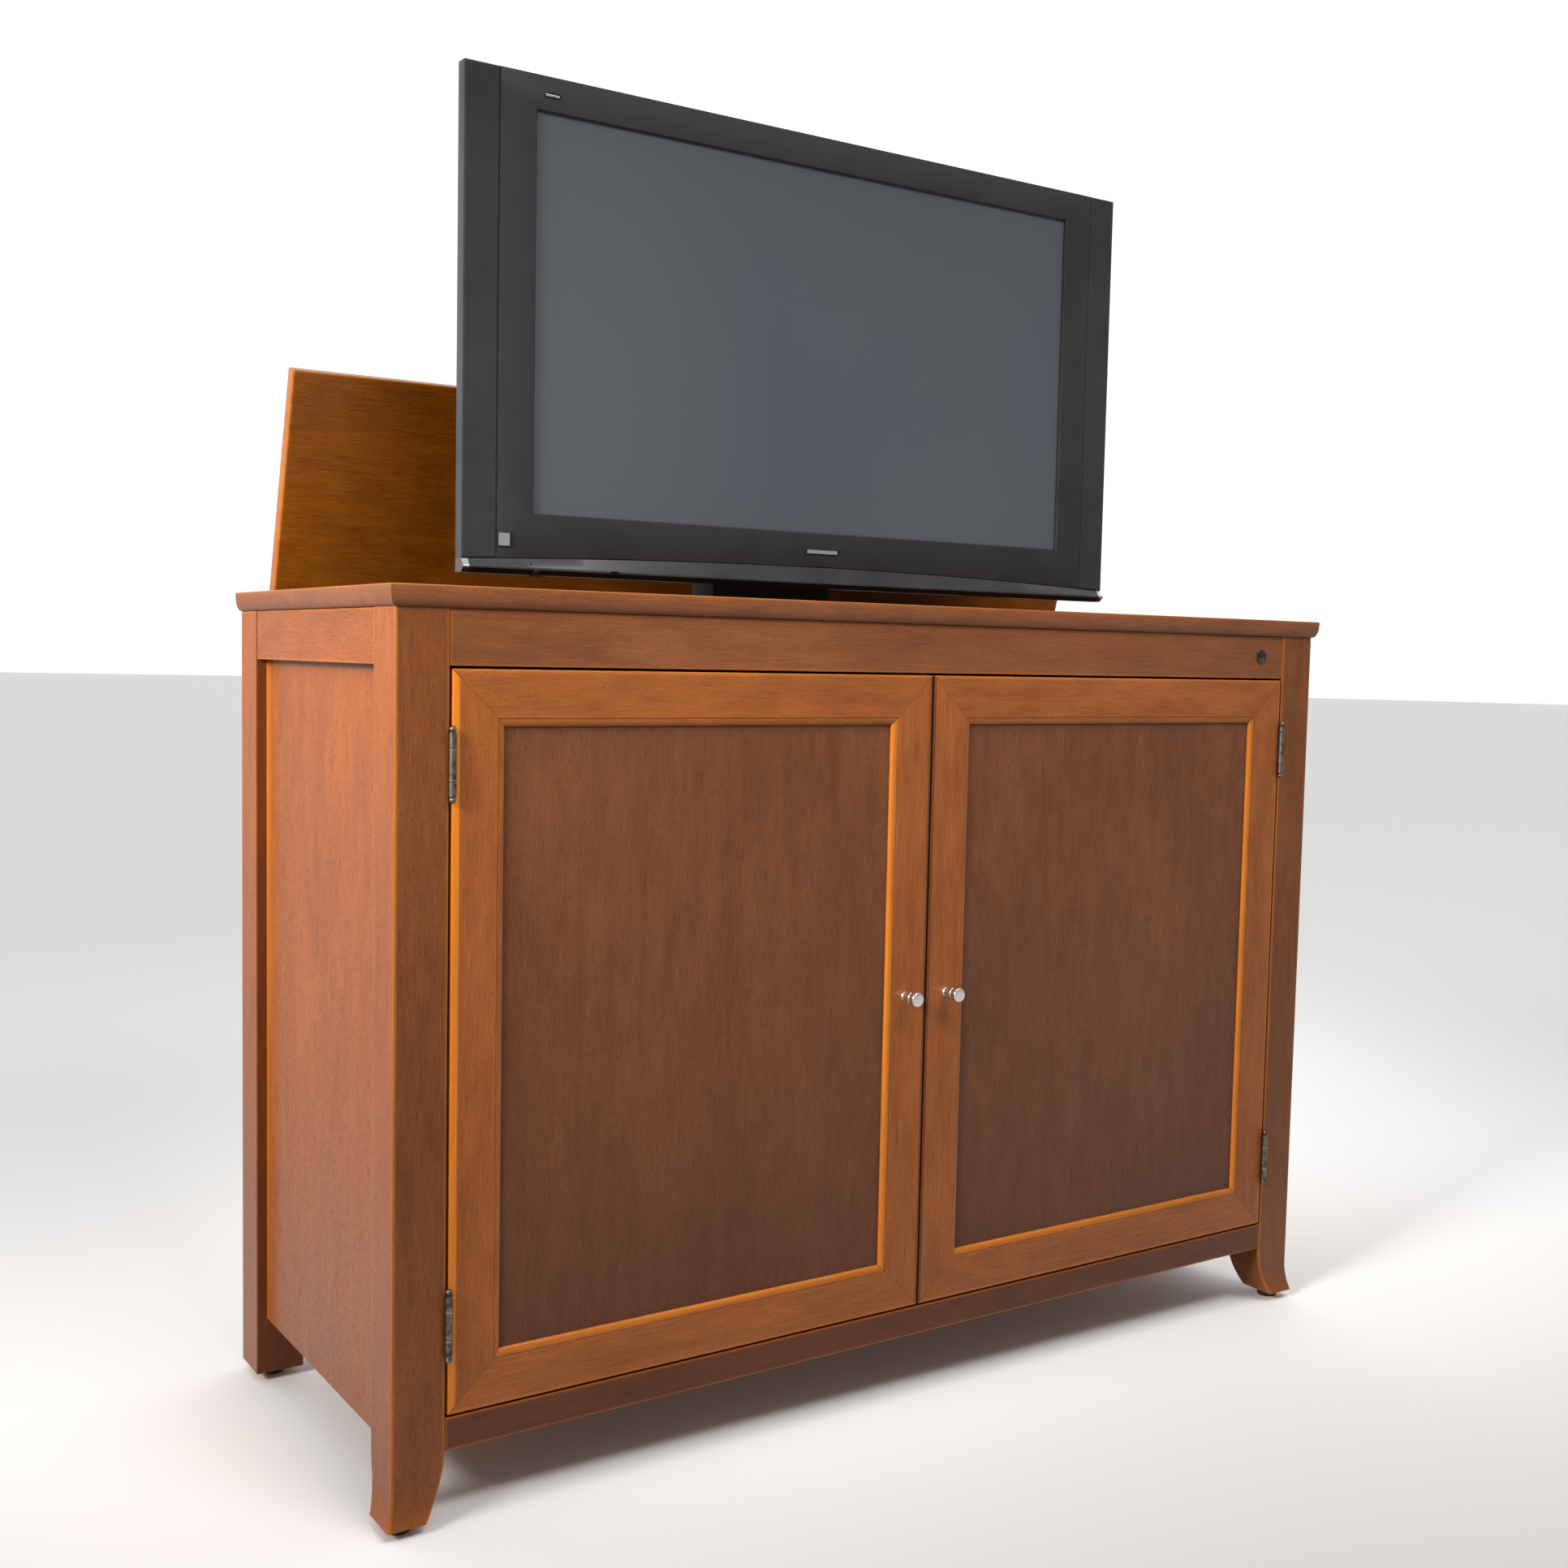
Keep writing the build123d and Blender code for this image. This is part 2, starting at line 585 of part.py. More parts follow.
# ---------------------------------------------------------------- doors
def frame_member(middle, inward, length):
    """A mitred stile or rail: its moulded section run along its length, its ends cut at 45."""
    back_dir = Vector(0, 1, 0)
    section = Plane(origin=middle, x_dir=inward, z_dir=inward.cross(back_dir))
    outline = Plane(origin=middle, x_dir=inward, z_dir=back_dir)
    groove_start = frame_width - GROOVE_DEPTH
    groove_back = PANEL_SETBACK + DOOR_PANEL_THICK
    with BuildPart() as member:
        with BuildSketch(section):
            with BuildLine():
                Polyline(
                    (0, 0),
                    (FRAME_FLAT, 0),
                    (frame_width, BEVEL_DEPTH),
                    (frame_width, PANEL_SETBACK),
                    (groove_start, PANEL_SETBACK),
                    (groove_start, groove_back),
                    (frame_width, groove_back),
                    (frame_width, DOOR_THICK),
                    (0, DOOR_THICK),
                    close=True,
                )
            make_face()
        extrude(amount=length / 2, both=True)
        with BuildSketch(outline):
            with BuildLine():
                Polyline(
                    (0, -length / 2),
                    (frame_width, frame_width - length / 2),
                    (frame_width, length / 2 - frame_width),
                    (0, length / 2),
                    close=True,
                )
            make_face()
        extrude(amount=DOOR_THICK, mode=Mode.INTERSECT)
    return member


def hinge_knuckle(x, middle, low, high):
    """One knuckle of a door hinge, between two heights measured from the hinge's middle."""
    upright_cylinder(x, hinge_y, middle + low, middle + high, HINGE_BARREL)


leaf_back = front + DOOR_THICK - LEAF_INSET
middle_knuckle = HINGE_MIDDLE / 2
hinge_half = HINGE_LENGTH / 2
outer_knuckles = (
    (-hinge_half, -middle_knuckle - KNUCKLE_GAP),
    (middle_knuckle + KNUCKLE_GAP, hinge_half),
)

for side, sign in sides:
    hinge_edge = sign * (DOOR_GAP / 2 + door_width)
    meeting_edge = sign * DOOR_GAP / 2
    centre_x = (hinge_edge + meeting_edge) / 2
    members = {
        "hinge_stile": ((hinge_edge, front, door_middle), Vector(-sign, 0, 0), door_height),
        "meeting_stile": ((meeting_edge, front, door_middle), Vector(sign, 0, 0), door_height),
        "top_rail": ((centre_x, front, door_top), Vector(0, 0, -1), door_width),
        "bottom_rail": ((centre_x, front, door_bottom), Vector(0, 0, 1), door_width),
    }
    for name, (middle, inward, length) in members.items():
        save(frame_member(middle, inward, length), f"{side}_door_{name}")

    with BuildPart() as door_panel:
        edge = frame_width - GROOVE_DEPTH + GROOVE_SLACK
        face_y = front + PANEL_SETBACK
        mirrored_block(
            sign,
            (DOOR_GAP / 2 + edge, face_y, door_bottom + edge),
            (DOOR_GAP / 2 + door_width - edge, face_y + DOOR_PANEL_THICK, door_top - edge),
        )
    save(door_panel, f"{side}_door_panel")

    with BuildPart() as door_leaves:
        door_face = DOOR_GAP / 2 + door_width
        for z in hinge_heights:
            mirrored_block(
                sign,
                (door_face, front, z - hinge_half),
                (door_face + LEAF_THICK, leaf_back, z + hinge_half),
            )
            mirrored_block(
                sign,
                (door_face, hinge_y, z - middle_knuckle),
                (door_face + LEAF_THICK, front + LEAF_LAP, z + middle_knuckle),
            )
            hinge_knuckle(sign * hinge_x, z, -middle_knuckle, middle_knuckle)
            upright_cylinder(
                sign * hinge_x, hinge_y, z - hinge_half, z + hinge_half,
                HINGE_PIN + PIN_CLEARANCE, Mode.SUBTRACT,
            )
    save(door_leaves, f"{side}_door_hinge_leaves")

    with BuildPart() as knob:
        bell_middle = sum(KNOB_BELL) / 2
        narrow, half_wide, wide = KNOB_BELL_RADII
        bell_start = (front - KNOB_BELL[0], door_middle + narrow)
        bell_end = (front - KNOB_BELL[1], door_middle + wide)
        with BuildSketch(side_plane(sign * knob_x)):
            with BuildLine():
                Polyline(
                    (front, door_middle),
                    (front, door_middle + KNOB_FOOT_RADIUS),
                    (front - KNOB_FOOT_THICK, door_middle + KNOB_FOOT_RADIUS),
                    bell_start,
                )
                ThreePointArc(bell_start, (front - bell_middle, door_middle + half_wide), bell_end)
                Polyline(
                    bell_end,
                    (front - KNOB_GROOVE[0], door_middle + KNOB_GROOVE_RADIUS),
                    (front - KNOB_GROOVE[1], door_middle + KNOB_GROOVE_RADIUS),
                    (front - KNOB_RIM_BACK + KNOB_RIM_CHAMFER, door_middle + KNOB_FACE_RADIUS - KNOB_RIM_CHAMFER),
                    (front - KNOB_RIM_BACK, door_middle + KNOB_FACE_RADIUS),
                    (front - KNOB_PROJECTION + KNOB_EASE, door_middle + KNOB_FACE_RADIUS),
                    (front - KNOB_PROJECTION, door_middle + KNOB_FACE_RADIUS - KNOB_EASE),
                    (front - KNOB_PROJECTION, door_middle),
                    (front, door_middle),
                )
            make_face()
        revolve(axis=Axis((sign * knob_x, 0, door_middle), (0, 1, 0)))
    save(knob, f"{side}_door_knob")

    with BuildPart() as strike:
        strike_y = front + DOOR_THICK
        strike_top = door_top - STRIKE_DROP
        mirrored_block(
            sign,
            (knob_x, strike_y, strike_top - STRIKE_SIZE[2]),
            (knob_x + STRIKE_SIZE[0], strike_y + STRIKE_SIZE[1], strike_top),
        )
    save(strike, f"{side}_door_strike_plate")

with BuildPart() as cabinet_leaves:
    for side, sign in sides:
        for z in hinge_heights:
            mirrored_block(
                sign,
                (post_inner - LEAF_THICK, front, z - hinge_half),
                (post_inner, leaf_back, z + hinge_half),
            )
            for low, high in outer_knuckles:
                mirrored_block(
                    sign,
                    (post_inner - LEAF_THICK, hinge_y, z + low),
                    (post_inner, front + LEAF_LAP, z + high),
                )
                hinge_knuckle(sign * hinge_x, z, low, high)
            upright_cylinder(
                sign * hinge_x, hinge_y, z - hinge_half, z + hinge_half,
                HINGE_PIN + PIN_CLEARANCE, Mode.SUBTRACT,
            )
save(cabinet_leaves, "door_hinge_post_leaves")

with BuildPart() as hinge_pins:
    for side, sign in sides:
        for z in hinge_heights:
            pin_half = hinge_half + FINIAL_NECK
            upright_cylinder(sign * hinge_x, hinge_y, z - pin_half, z + pin_half, HINGE_PIN)
            for end in (-1, 1):
                finial_z = z + end * (hinge_half + FINIAL_RADIUS + FINIAL_GAP)
                with Locations((sign * hinge_x, hinge_y, finial_z)):
                    Sphere(FINIAL_RADIUS)
    for x in lid_hinge_places:
        lid_barrel(x - half_length - LID_PIN_END, x + half_length + LID_PIN_END, HINGE_PIN)
save(hinge_pins, "hinge_pins")

with BuildPart() as catches:
    catch_y = front + DOOR_THICK + STRIKE_SIZE[1] + CATCH_GAP
    catch_x = knob_x - CATCH_LEAD
    for side, sign in sides:
        mirrored_block(
            sign,
            (catch_x, catch_y, rail_bottom - CATCH_SIZE[2]),
            (catch_x + CATCH_SIZE[0], catch_y + CATCH_SIZE[1], rail_bottom),
        )
save(catches, "magnetic_catches")

# ---------------------------------------------------------------- television
def tv_outline():
    """The television's front outline: square top corners and an arched bottom edge."""
    with BuildLine() as outline:
        Line((tv_half, tv_bottom), (tv_half, tv_top))
        Line((tv_half, tv_top), (-tv_half, tv_top))
        Line((-tv_half, tv_top), (-tv_half, tv_bottom))
        ThreePointArc((-tv_half, tv_bottom), (0, tv_bottom + TV_ARCH), (tv_half, tv_bottom))
    make_face(outline.line)


seam_x = tv_half - SPEAKER_WIDTH
with BuildPart() as bezel:
    with BuildSketch(front_plane(tv_front)):
        tv_outline()
    extrude(amount=-TV_FACE_DEPTH)
    block(
        (-SCREEN_WIDTH / 2, tv_front, screen_bottom),
        (SCREEN_WIDTH / 2, tv_face_back, screen_bottom + screen_height),
        Mode.SUBTRACT,
    )
    glass_half = SCREEN_WIDTH / 2 + GLASS_MARGIN
    block(
        (-glass_half, tv_front + SCREEN_SETBACK, screen_bottom - GLASS_MARGIN),
        (glass_half, tv_face_back, screen_bottom + screen_height + GLASS_MARGIN),
        Mode.SUBTRACT,
    )
    for side, sign in sides:
        mirrored_block(
            sign,
            (seam_x, tv_front, tv_bottom - TV_ARCH),
            (tv_half, tv_face_back, tv_top),
            Mode.SUBTRACT,
        )
save(bezel, "tv_front_bezel")

with BuildPart() as speakers:
    with BuildSketch(front_plane(tv_front)):
        tv_outline()
    extrude(amount=-TV_FACE_DEPTH)
    clear = seam_x + SEAM_GAP
    block((-clear, tv_front, tv_bottom - TV_ARCH), (clear, tv_face_back, tv_top), Mode.SUBTRACT)
save(speakers, "tv_speaker_covers")

glass_y = tv_front + SCREEN_SETBACK
with BuildPart() as glass:
    block(
        (-glass_half, glass_y, screen_bottom - GLASS_MARGIN),
        (glass_half, glass_y + GLASS_THICK, screen_bottom + screen_height + GLASS_MARGIN),
    )
save(glass, "tv_screen_glass")

display_y = glass_y + GLASS_THICK + DISPLAY_GAP
with BuildPart() as display:
    block(
        (-glass_half, display_y, screen_bottom - GLASS_MARGIN),
        (glass_half, display_y + DISPLAY_THICK, screen_bottom + screen_height + GLASS_MARGIN),
    )
save(display, "tv_display_panel")

button_y = tv_front + BUTTON_SETBACK
cap_edge = tv_half - TRIM_CAP
trim_lip_y = tv_front - TRIM_LIP


def trim_body():
    """The lower trim: arched along its top, straight along its bottom, with a forward lip."""
    with BuildSketch(front_plane(trim_lip_y)) as face:
        with BuildLine():
            ThreePointArc(
                (-tv_half, tv_bottom - SEAM_GAP),
                (0, tv_bottom + TV_ARCH - SEAM_GAP),
                (tv_half, tv_bottom - SEAM_GAP),
            )
            Polyline(
                (tv_half, tv_bottom - SEAM_GAP),
                (tv_half, trim_bottom),
                (-tv_half, trim_bottom),
                (-tv_half, tv_bottom - SEAM_GAP),
            )
        make_face()
    extrude(face.sketch, amount=-(TRIM_LIP + TV_FACE_DEPTH))
    arch_top = tv_bottom + TV_ARCH
    lip_z = tv_bottom - TRIM_DROP / 2
    with BuildSketch(side_plane()) as relief:
        with BuildLine():
            Polyline(
                (trim_lip_y, arch_top),
                (tv_front, arch_top),
                (tv_front, tv_bottom),
                (trim_lip_y, lip_z),
                close=True,
            )
        make_face()
    extrude(relief.sketch, amount=tv_half, both=True, mode=Mode.SUBTRACT)


with BuildPart() as trim:
    trim_body()
    for side, sign in sides:
        mirrored_block(
            sign,
            (cap_edge, trim_lip_y, trim_bottom),
            (tv_half, tv_face_back, tv_bottom),
            Mode.SUBTRACT,
        )
    block(
        (BUTTON_X - BUTTON_SIZE[0] / 2 - BUTTON_GAP, button_y - BUTTON_GAP, trim_bottom),
        (
            BUTTON_X + BUTTON_SIZE[0] / 2 + BUTTON_GAP,
            button_y + BUTTON_SIZE[1] + BUTTON_GAP,
            trim_bottom + BUTTON_SIZE[2],
        ),
        Mode.SUBTRACT,
    )
save(trim, "tv_lower_trim")

with BuildPart() as trim_caps:
    trim_body()
    block(
        (-cap_edge, trim_lip_y, trim_bottom),
        (cap_edge, tv_face_back, tv_bottom + TV_ARCH),
        Mode.SUBTRACT,
    )
save(trim_caps, "tv_trim_caps")

with BuildPart() as button:
    block(
        (BUTTON_X - BUTTON_SIZE[0] / 2, button_y, trim_bottom - BUTTON_PROUD),
        (
            BUTTON_X + BUTTON_SIZE[0] / 2,
            button_y + BUTTON_SIZE[1],
            trim_bottom - BUTTON_PROUD + BUTTON_SIZE[2],
        ),
    )
save(button, "tv_power_button")

cover_half = tv_half - COVER_INSET
cover_bottom = tv_bottom + TV_ARCH + ARCH_CLEARANCE
cover_top = tv_top - COVER_INSET
inlet_z = cover_bottom + INLET_RISE
with BuildPart() as rear_cover:
    block((-cover_half, tv_face_back, cover_bottom), (cover_half, tv_back, cover_top))
    chamfer(rear_cover.faces().sort_by(Axis.Y)[-1].edges(), COVER_CHAMFER)
    block(
        (-cover_half + TV_WALL, tv_face_back, cover_bottom + TV_WALL),
        (cover_half - TV_WALL, tv_face_back + TV_BACK_DEPTH * COVER_STEP, cover_top - TV_WALL),
        Mode.SUBTRACT,
    )
    inner = COVER_CHAMFER + TV_WALL
    block(
        (-cover_half + inner, tv_face_back, cover_bottom + inner),
        (cover_half - inner, tv_back - TV_WALL, cover_top - inner),
        Mode.SUBTRACT,
    )
    block(
        (INLET_X - INLET_SIZE[0] / 2, tv_back - TV_WALL, inlet_z - INLET_SIZE[2] / 2),
        (INLET_X + INLET_SIZE[0] / 2, tv_back, inlet_z + INLET_SIZE[2] / 2),
        Mode.SUBTRACT,
    )
save(rear_cover, "tv_rear_cover")

with BuildPart() as inlet:
    block(
        (INLET_X - INLET_SIZE[0] / 2, tv_back - INLET_SIZE[1], inlet_z - INLET_SIZE[2] / 2),
        (INLET_X + INLET_SIZE[0] / 2, tv_back + INLET_PROUD, inlet_z + INLET_SIZE[2] / 2),
    )
save(inlet, "tv_mains_inlet")

# ---------------------------------------------------------------- lift
with BuildPart() as base:
    base_front = column_middle - BASE_DEPTH / 2
    block(
        (-BASE_WIDTH / 2, base_front, bay_floor),
        (BASE_WIDTH / 2, base_front + BASE_DEPTH, column_foot),
    )
save(base, "lift_base_plate")

with BuildPart() as outer_column:
    block(
        (-COLUMN_WIDTH / 2, column_front, column_foot), (COLUMN_WIDTH / 2, column_back, column_top)
    )
    block(
        (-COLUMN_WIDTH / 2 + COLUMN_WALL, column_front + COLUMN_WALL, column_foot),
        (COLUMN_WIDTH / 2 - COLUMN_WALL, column_back - COLUMN_WALL, column_top),
        Mode.SUBTRACT,
    )
    bridge_half = DRIVE_BRIDGE[0] / 2 + BRIDGE_GAP
    block(
        (COLUMN_WIDTH / 2 - COLUMN_WALL, column_middle - bridge_half, column_foot),
        (COLUMN_WIDTH / 2, column_middle + bridge_half, column_foot + DRIVE_BRIDGE[1] + BRIDGE_GAP),
        Mode.SUBTRACT,
    )
save(outer_column, "lift_outer_column")

gear_top = column_foot + GEARBOX_HEIGHT
screw_bore = SCREW_RADIUS + SCREW_CLEARANCE
gear_half = GEARBOX_WIDTH / 2
gear_depth = COLUMN_DEPTH / 2 - COLUMN_WALL
with BuildPart() as gearbox:
    block(
        (-gear_half, column_middle - gear_depth, column_foot),
        (gear_half, column_middle + gear_depth, gear_top),
    )
    upright_cylinder(0, column_middle, column_foot, gear_top, screw_bore, Mode.SUBTRACT)
    motor_x = COLUMN_WIDTH / 2 + MOTOR_RADIUS + MOTOR_GAP
    block(
        (gear_half, column_middle - DRIVE_BRIDGE[0] / 2, column_foot),
        (motor_x, column_middle + DRIVE_BRIDGE[0] / 2, column_foot + DRIVE_BRIDGE[1]),
    )
    upright_cylinder(motor_x, column_middle, column_foot, column_foot + MOTOR_LENGTH, MOTOR_RADIUS)
save(gearbox, "lift_gear_motor")

with BuildPart() as screw:
    screw_top = stage_bottom + NUT_HEIGHT + SCREW_END
    upright_cylinder(0, column_middle, column_foot, screw_top, SCREW_RADIUS)
save(screw, "lift_screw")

with BuildPart() as stage:
    block(
        (-stage_half_width, column_middle - stage_half_depth, stage_bottom),
        (stage_half_width, column_middle + stage_half_depth, stage_top),
    )
    block(
        (-stage_half_width + STAGE_WALL, column_middle - stage_half_depth + STAGE_WALL, stage_bottom),
        (stage_half_width - STAGE_WALL, column_middle + stage_half_depth - STAGE_WALL, stage_top),
        Mode.SUBTRACT,
    )
save(stage, "lift_inner_column")

with BuildPart() as nut:
    nut_half_width = stage_half_width - STAGE_WALL
    nut_half_depth = stage_half_depth - STAGE_WALL
    nut_top = stage_bottom + NUT_HEIGHT
    block(
        (-nut_half_width, column_middle - nut_half_depth, stage_bottom),
        (nut_half_width, column_middle + nut_half_depth, nut_top),
    )
    upright_cylinder(0, column_middle, stage_bottom, nut_top, screw_bore, Mode.SUBTRACT)
save(nut, "lift_drive_nut")

plate_front = column_front - MOUNT_PLATE_GAP - MOUNT_PLATE_THICK
bar_front = plate_front - MOUNT_BAR_THICK
plate_top = stage_top + MOUNT_PLATE_THICK
plate_bottom = plate_top - MOUNT_PLATE_HEIGHT
arm_bottom = screen_middle - MOUNT_ARM_HEIGHT / 2
bar_heights = (plate_bottom + 2 * MOUNT_BAR_HEIGHT, plate_top - 2 * MOUNT_BAR_HEIGHT)
with BuildPart() as mount:
    block(
        (-MOUNT_PLATE_WIDTH / 2, plate_front, plate_bottom),
        (MOUNT_PLATE_WIDTH / 2, plate_front + MOUNT_PLATE_THICK, plate_top),
    )
    block(
        (-MOUNT_PLATE_WIDTH / 2, plate_front, stage_top),
        (MOUNT_PLATE_WIDTH / 2, column_back, plate_top),
    )
    for z in bar_heights:
        block(
            (-MOUNT_BAR_WIDTH / 2, bar_front, z),
            (MOUNT_BAR_WIDTH / 2, plate_front, z + MOUNT_BAR_HEIGHT),
        )
    for side, sign in sides:
        middle = MOUNT_ARM_SPREAD / 2
        mirrored_block(
            sign,
            (middle - MOUNT_ARM_WIDTH / 2, tv_back, arm_bottom),
            (middle + MOUNT_ARM_WIDTH / 2, bar_front, arm_bottom + MOUNT_ARM_HEIGHT),
        )
save(mount, "tv_mount_bracket")

# The lifter bar lies along the lid's underside, LIFTER_REACH from the hinge pin.
bar_centre = (
    Vector(0, lid_pin_y, lid_pin_z)
    + along_lid * LIFTER_REACH
    + out_of_lid * (lid_underside - LIFTER_BAR_RADIUS - LIFTER_CLEARANCE)
)
arm_x = COLUMN_WIDTH / 2 + LIFTER_ARM_GAP
arm_low = bar_centre.Z - LIFTER_ARM_HEIGHT / 2
arm_high = bar_centre.Z + LIFTER_ARM_HEIGHT / 2
with BuildPart() as lifter:
    for side, sign in sides:
        mirrored_block(
            sign,
            (MOUNT_PLATE_WIDTH / 2 - LIFTER_LAP, bar_front, arm_low),
            (arm_x + LIFTER_ARM_THICK, plate_front, arm_high),
        )
        mirrored_block(
            sign,
            (arm_x, bar_front, arm_low),
            (arm_x + LIFTER_ARM_THICK, bar_centre.Y - LIFTER_BAR_RADIUS, arm_high),
        )
    with BuildSketch(side_plane(-arm_x - LIFTER_ARM_THICK)):
        with Locations((bar_centre.Y, bar_centre.Z)):
            Circle(LIFTER_BAR_RADIUS)
    extrude(amount=2 * (arm_x + LIFTER_ARM_THICK))
save(lifter, "lid_lifter_bar")

with BuildPart() as control_box:
    box_x = COLUMN_WIDTH / 2 + CONTROL_BOX_GAP
    box_z = bay_floor + CONTROL_BOX_RISE
    block(
        (box_x, board_back - CONTROL_BOX[1], box_z),
        (box_x + CONTROL_BOX[0], board_back, box_z + CONTROL_BOX[2]),
    )
save(control_box, "lift_control_box")
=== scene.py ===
# %% [markdown]
# # A television lift cabinet
# A low cherry-stained cabinet holds a flat television on a motor lift. The rear half of its top is a
# lid, which the lift pushes open. The frame that is loaded first says where each part is, and which
# parts move together. This notebook gives every part its real surface and finish.

# %% Load the frame
import json
from math import pi, radians

import bmesh
import bpy
import numpy as np
from mathutils import Matrix, Vector

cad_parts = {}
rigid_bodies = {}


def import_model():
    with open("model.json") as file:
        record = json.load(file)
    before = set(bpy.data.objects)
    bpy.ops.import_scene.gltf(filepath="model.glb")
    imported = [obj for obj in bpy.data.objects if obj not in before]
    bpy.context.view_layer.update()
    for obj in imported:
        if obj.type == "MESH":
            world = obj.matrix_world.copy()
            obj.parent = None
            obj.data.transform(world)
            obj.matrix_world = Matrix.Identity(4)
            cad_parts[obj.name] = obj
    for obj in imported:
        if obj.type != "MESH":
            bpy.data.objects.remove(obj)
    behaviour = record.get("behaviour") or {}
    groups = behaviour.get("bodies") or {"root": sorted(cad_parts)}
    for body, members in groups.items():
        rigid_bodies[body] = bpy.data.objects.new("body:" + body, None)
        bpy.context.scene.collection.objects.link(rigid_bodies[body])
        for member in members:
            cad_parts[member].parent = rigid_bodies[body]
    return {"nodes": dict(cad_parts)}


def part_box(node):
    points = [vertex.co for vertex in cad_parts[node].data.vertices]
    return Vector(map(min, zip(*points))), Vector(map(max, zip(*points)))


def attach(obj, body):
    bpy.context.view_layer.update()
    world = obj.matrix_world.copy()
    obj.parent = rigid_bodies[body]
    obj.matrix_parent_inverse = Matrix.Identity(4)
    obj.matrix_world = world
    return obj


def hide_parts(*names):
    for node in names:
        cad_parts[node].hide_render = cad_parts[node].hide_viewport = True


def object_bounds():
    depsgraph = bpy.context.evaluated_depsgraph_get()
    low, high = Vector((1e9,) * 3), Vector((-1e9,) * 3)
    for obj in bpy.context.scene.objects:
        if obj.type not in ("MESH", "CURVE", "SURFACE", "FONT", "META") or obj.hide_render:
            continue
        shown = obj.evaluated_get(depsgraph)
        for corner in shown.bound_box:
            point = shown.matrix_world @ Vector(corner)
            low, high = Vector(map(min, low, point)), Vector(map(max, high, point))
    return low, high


for leftover in list(bpy.data.objects):
    bpy.data.objects.remove(leftover)
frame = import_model()
cad_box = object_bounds()
nodes = frame["nodes"]
print("parts in the frame:", len(nodes))

# %% [markdown]
# ## Camera
# The camera comes first, because every later choice of detail is judged through it. It stands in
# front of the left corner, a little below the top of the cabinet's own height, and looks slightly
# down. Its heading, tilt and roll are three turns, multiplied in the order in which a tripod makes
# them.

# %% Camera
CAMERA_PLACE = (-1.4648, -2.1252, 1.0174)
CAMERA_HEADING = radians(-33.696)
CAMERA_TILT = radians(4.161)
CAMERA_ROLL = radians(1.191)
CAMERA_LENS = 39.99
CAMERA_SENSOR = 36.0


def set_up_camera():
    """Heading about Z, then tilt down from the horizon about X, then roll about the line of sight."""
    camera = bpy.data.objects.new("camera", bpy.data.cameras.new("camera"))
    bpy.context.scene.collection.objects.link(camera)
    camera.data.lens = CAMERA_LENS
    camera.data.sensor_width = CAMERA_SENSOR
    camera.data.clip_end = 200.0
    camera.matrix_world = (
        Matrix.Translation(CAMERA_PLACE)
        @ Matrix.Rotation(CAMERA_HEADING, 4, "Z")
        @ Matrix.Rotation(pi / 2 - CAMERA_TILT, 4, "X")
        @ Matrix.Rotation(CAMERA_ROLL, 4, "Z")
    )
    bpy.context.scene.camera = camera


set_up_camera()

# %% [markdown]
# ## Putting nodes together
# A material is a small graph. One helper places a node, sets its plain inputs and links the others,
# so that each effect below reads as a list of what it mixes.

# %% Node helpers
def place(tree, kind, inputs=None, **settings):
    """Add a node. An input that is a socket is linked, and anything else is set."""
    node = tree.nodes.new("ShaderNode" + kind)
    for name, value in settings.items():
        setattr(node, name, value)
    for name, value in (inputs or {}).items():
        if isinstance(value, bpy.types.NodeSocket):
            tree.links.new(value, node.inputs[name])
        else:
            node.inputs[name].default_value = value
    return node


def maths(tree, operation, first, second=0.0):
    """One arithmetic step: first (operation) second."""
    return place(tree, "Math", {0: first, 1: second}, operation=operation).outputs[0]


def blend(tree, amount, first, second):
    """Colour first where amount is 0, colour second where it is 1."""
    node = place(tree, "Mix", {0: amount, 6: first, 7: second}, data_type="RGBA")
    return node.outputs[2]


def stretched_noise(tree, vector, stretch, scale, detail=2.0, distortion=0.0):
    """Noise on coordinates that are first multiplied by stretch, so its spots become streaks."""
    scaled = place(tree, "VectorMath", {0: vector, 1: stretch}, operation="MULTIPLY")
    settings = {"Vector": scaled.outputs[0], "Scale": scale, "Detail": detail, "Distortion": distortion}
    return place(tree, "TexNoise", settings).outputs[0]


def ramp(tree, value, low, high, out_low=0.0, out_high=1.0):
    """Value carried from low..high to out_low..out_high, held at both ends."""
    spans = {0: value, 1: low, 2: high, 3: out_low, 4: out_high}
    return place(tree, "MapRange", spans, clamp=True).outputs[0]


EFFECT_OUTPUTS = {"Color": "Color", "Roughness": "Float", "Height": "Float"}


def new_group(name, **inputs):
    """A shader group and its end nodes. An input's kind follows its default: None is a vector."""
    group = bpy.data.node_groups.new(name, "ShaderNodeTree")
    for label, default in inputs.items():
        kind = "Vector" if default is None else "Color" if isinstance(default, tuple) else "Float"
        socket = group.interface.new_socket(label, in_out="INPUT", socket_type="NodeSocket" + kind)
        if default is not None:
            socket.default_value = default
    for label, kind in EFFECT_OUTPUTS.items():
        group.interface.new_socket(label, in_out="OUTPUT", socket_type="NodeSocket" + kind)
    return group, group.nodes.new("NodeGroupInput"), group.nodes.new("NodeGroupOutput")


def send(group, out, **values):
    """Link each value to the group's output of that name."""
    for label, value in values.items():
        group.links.new(value, out.inputs[label])


# %% [markdown]
# ## Light and floor
# The room is bright above and behind the cabinet and dimmer in front, as in a studio. Lacquer
# mirrors what is in front of it, so a dim front keeps the stain deep. A soft lamp at the left lights
# the side most, and a long soft lamp above the front fades towards the floor. Both have a grid that
# narrows the beam, so the floor sends little light back up. The standard view transform keeps the
# colours as they are set.

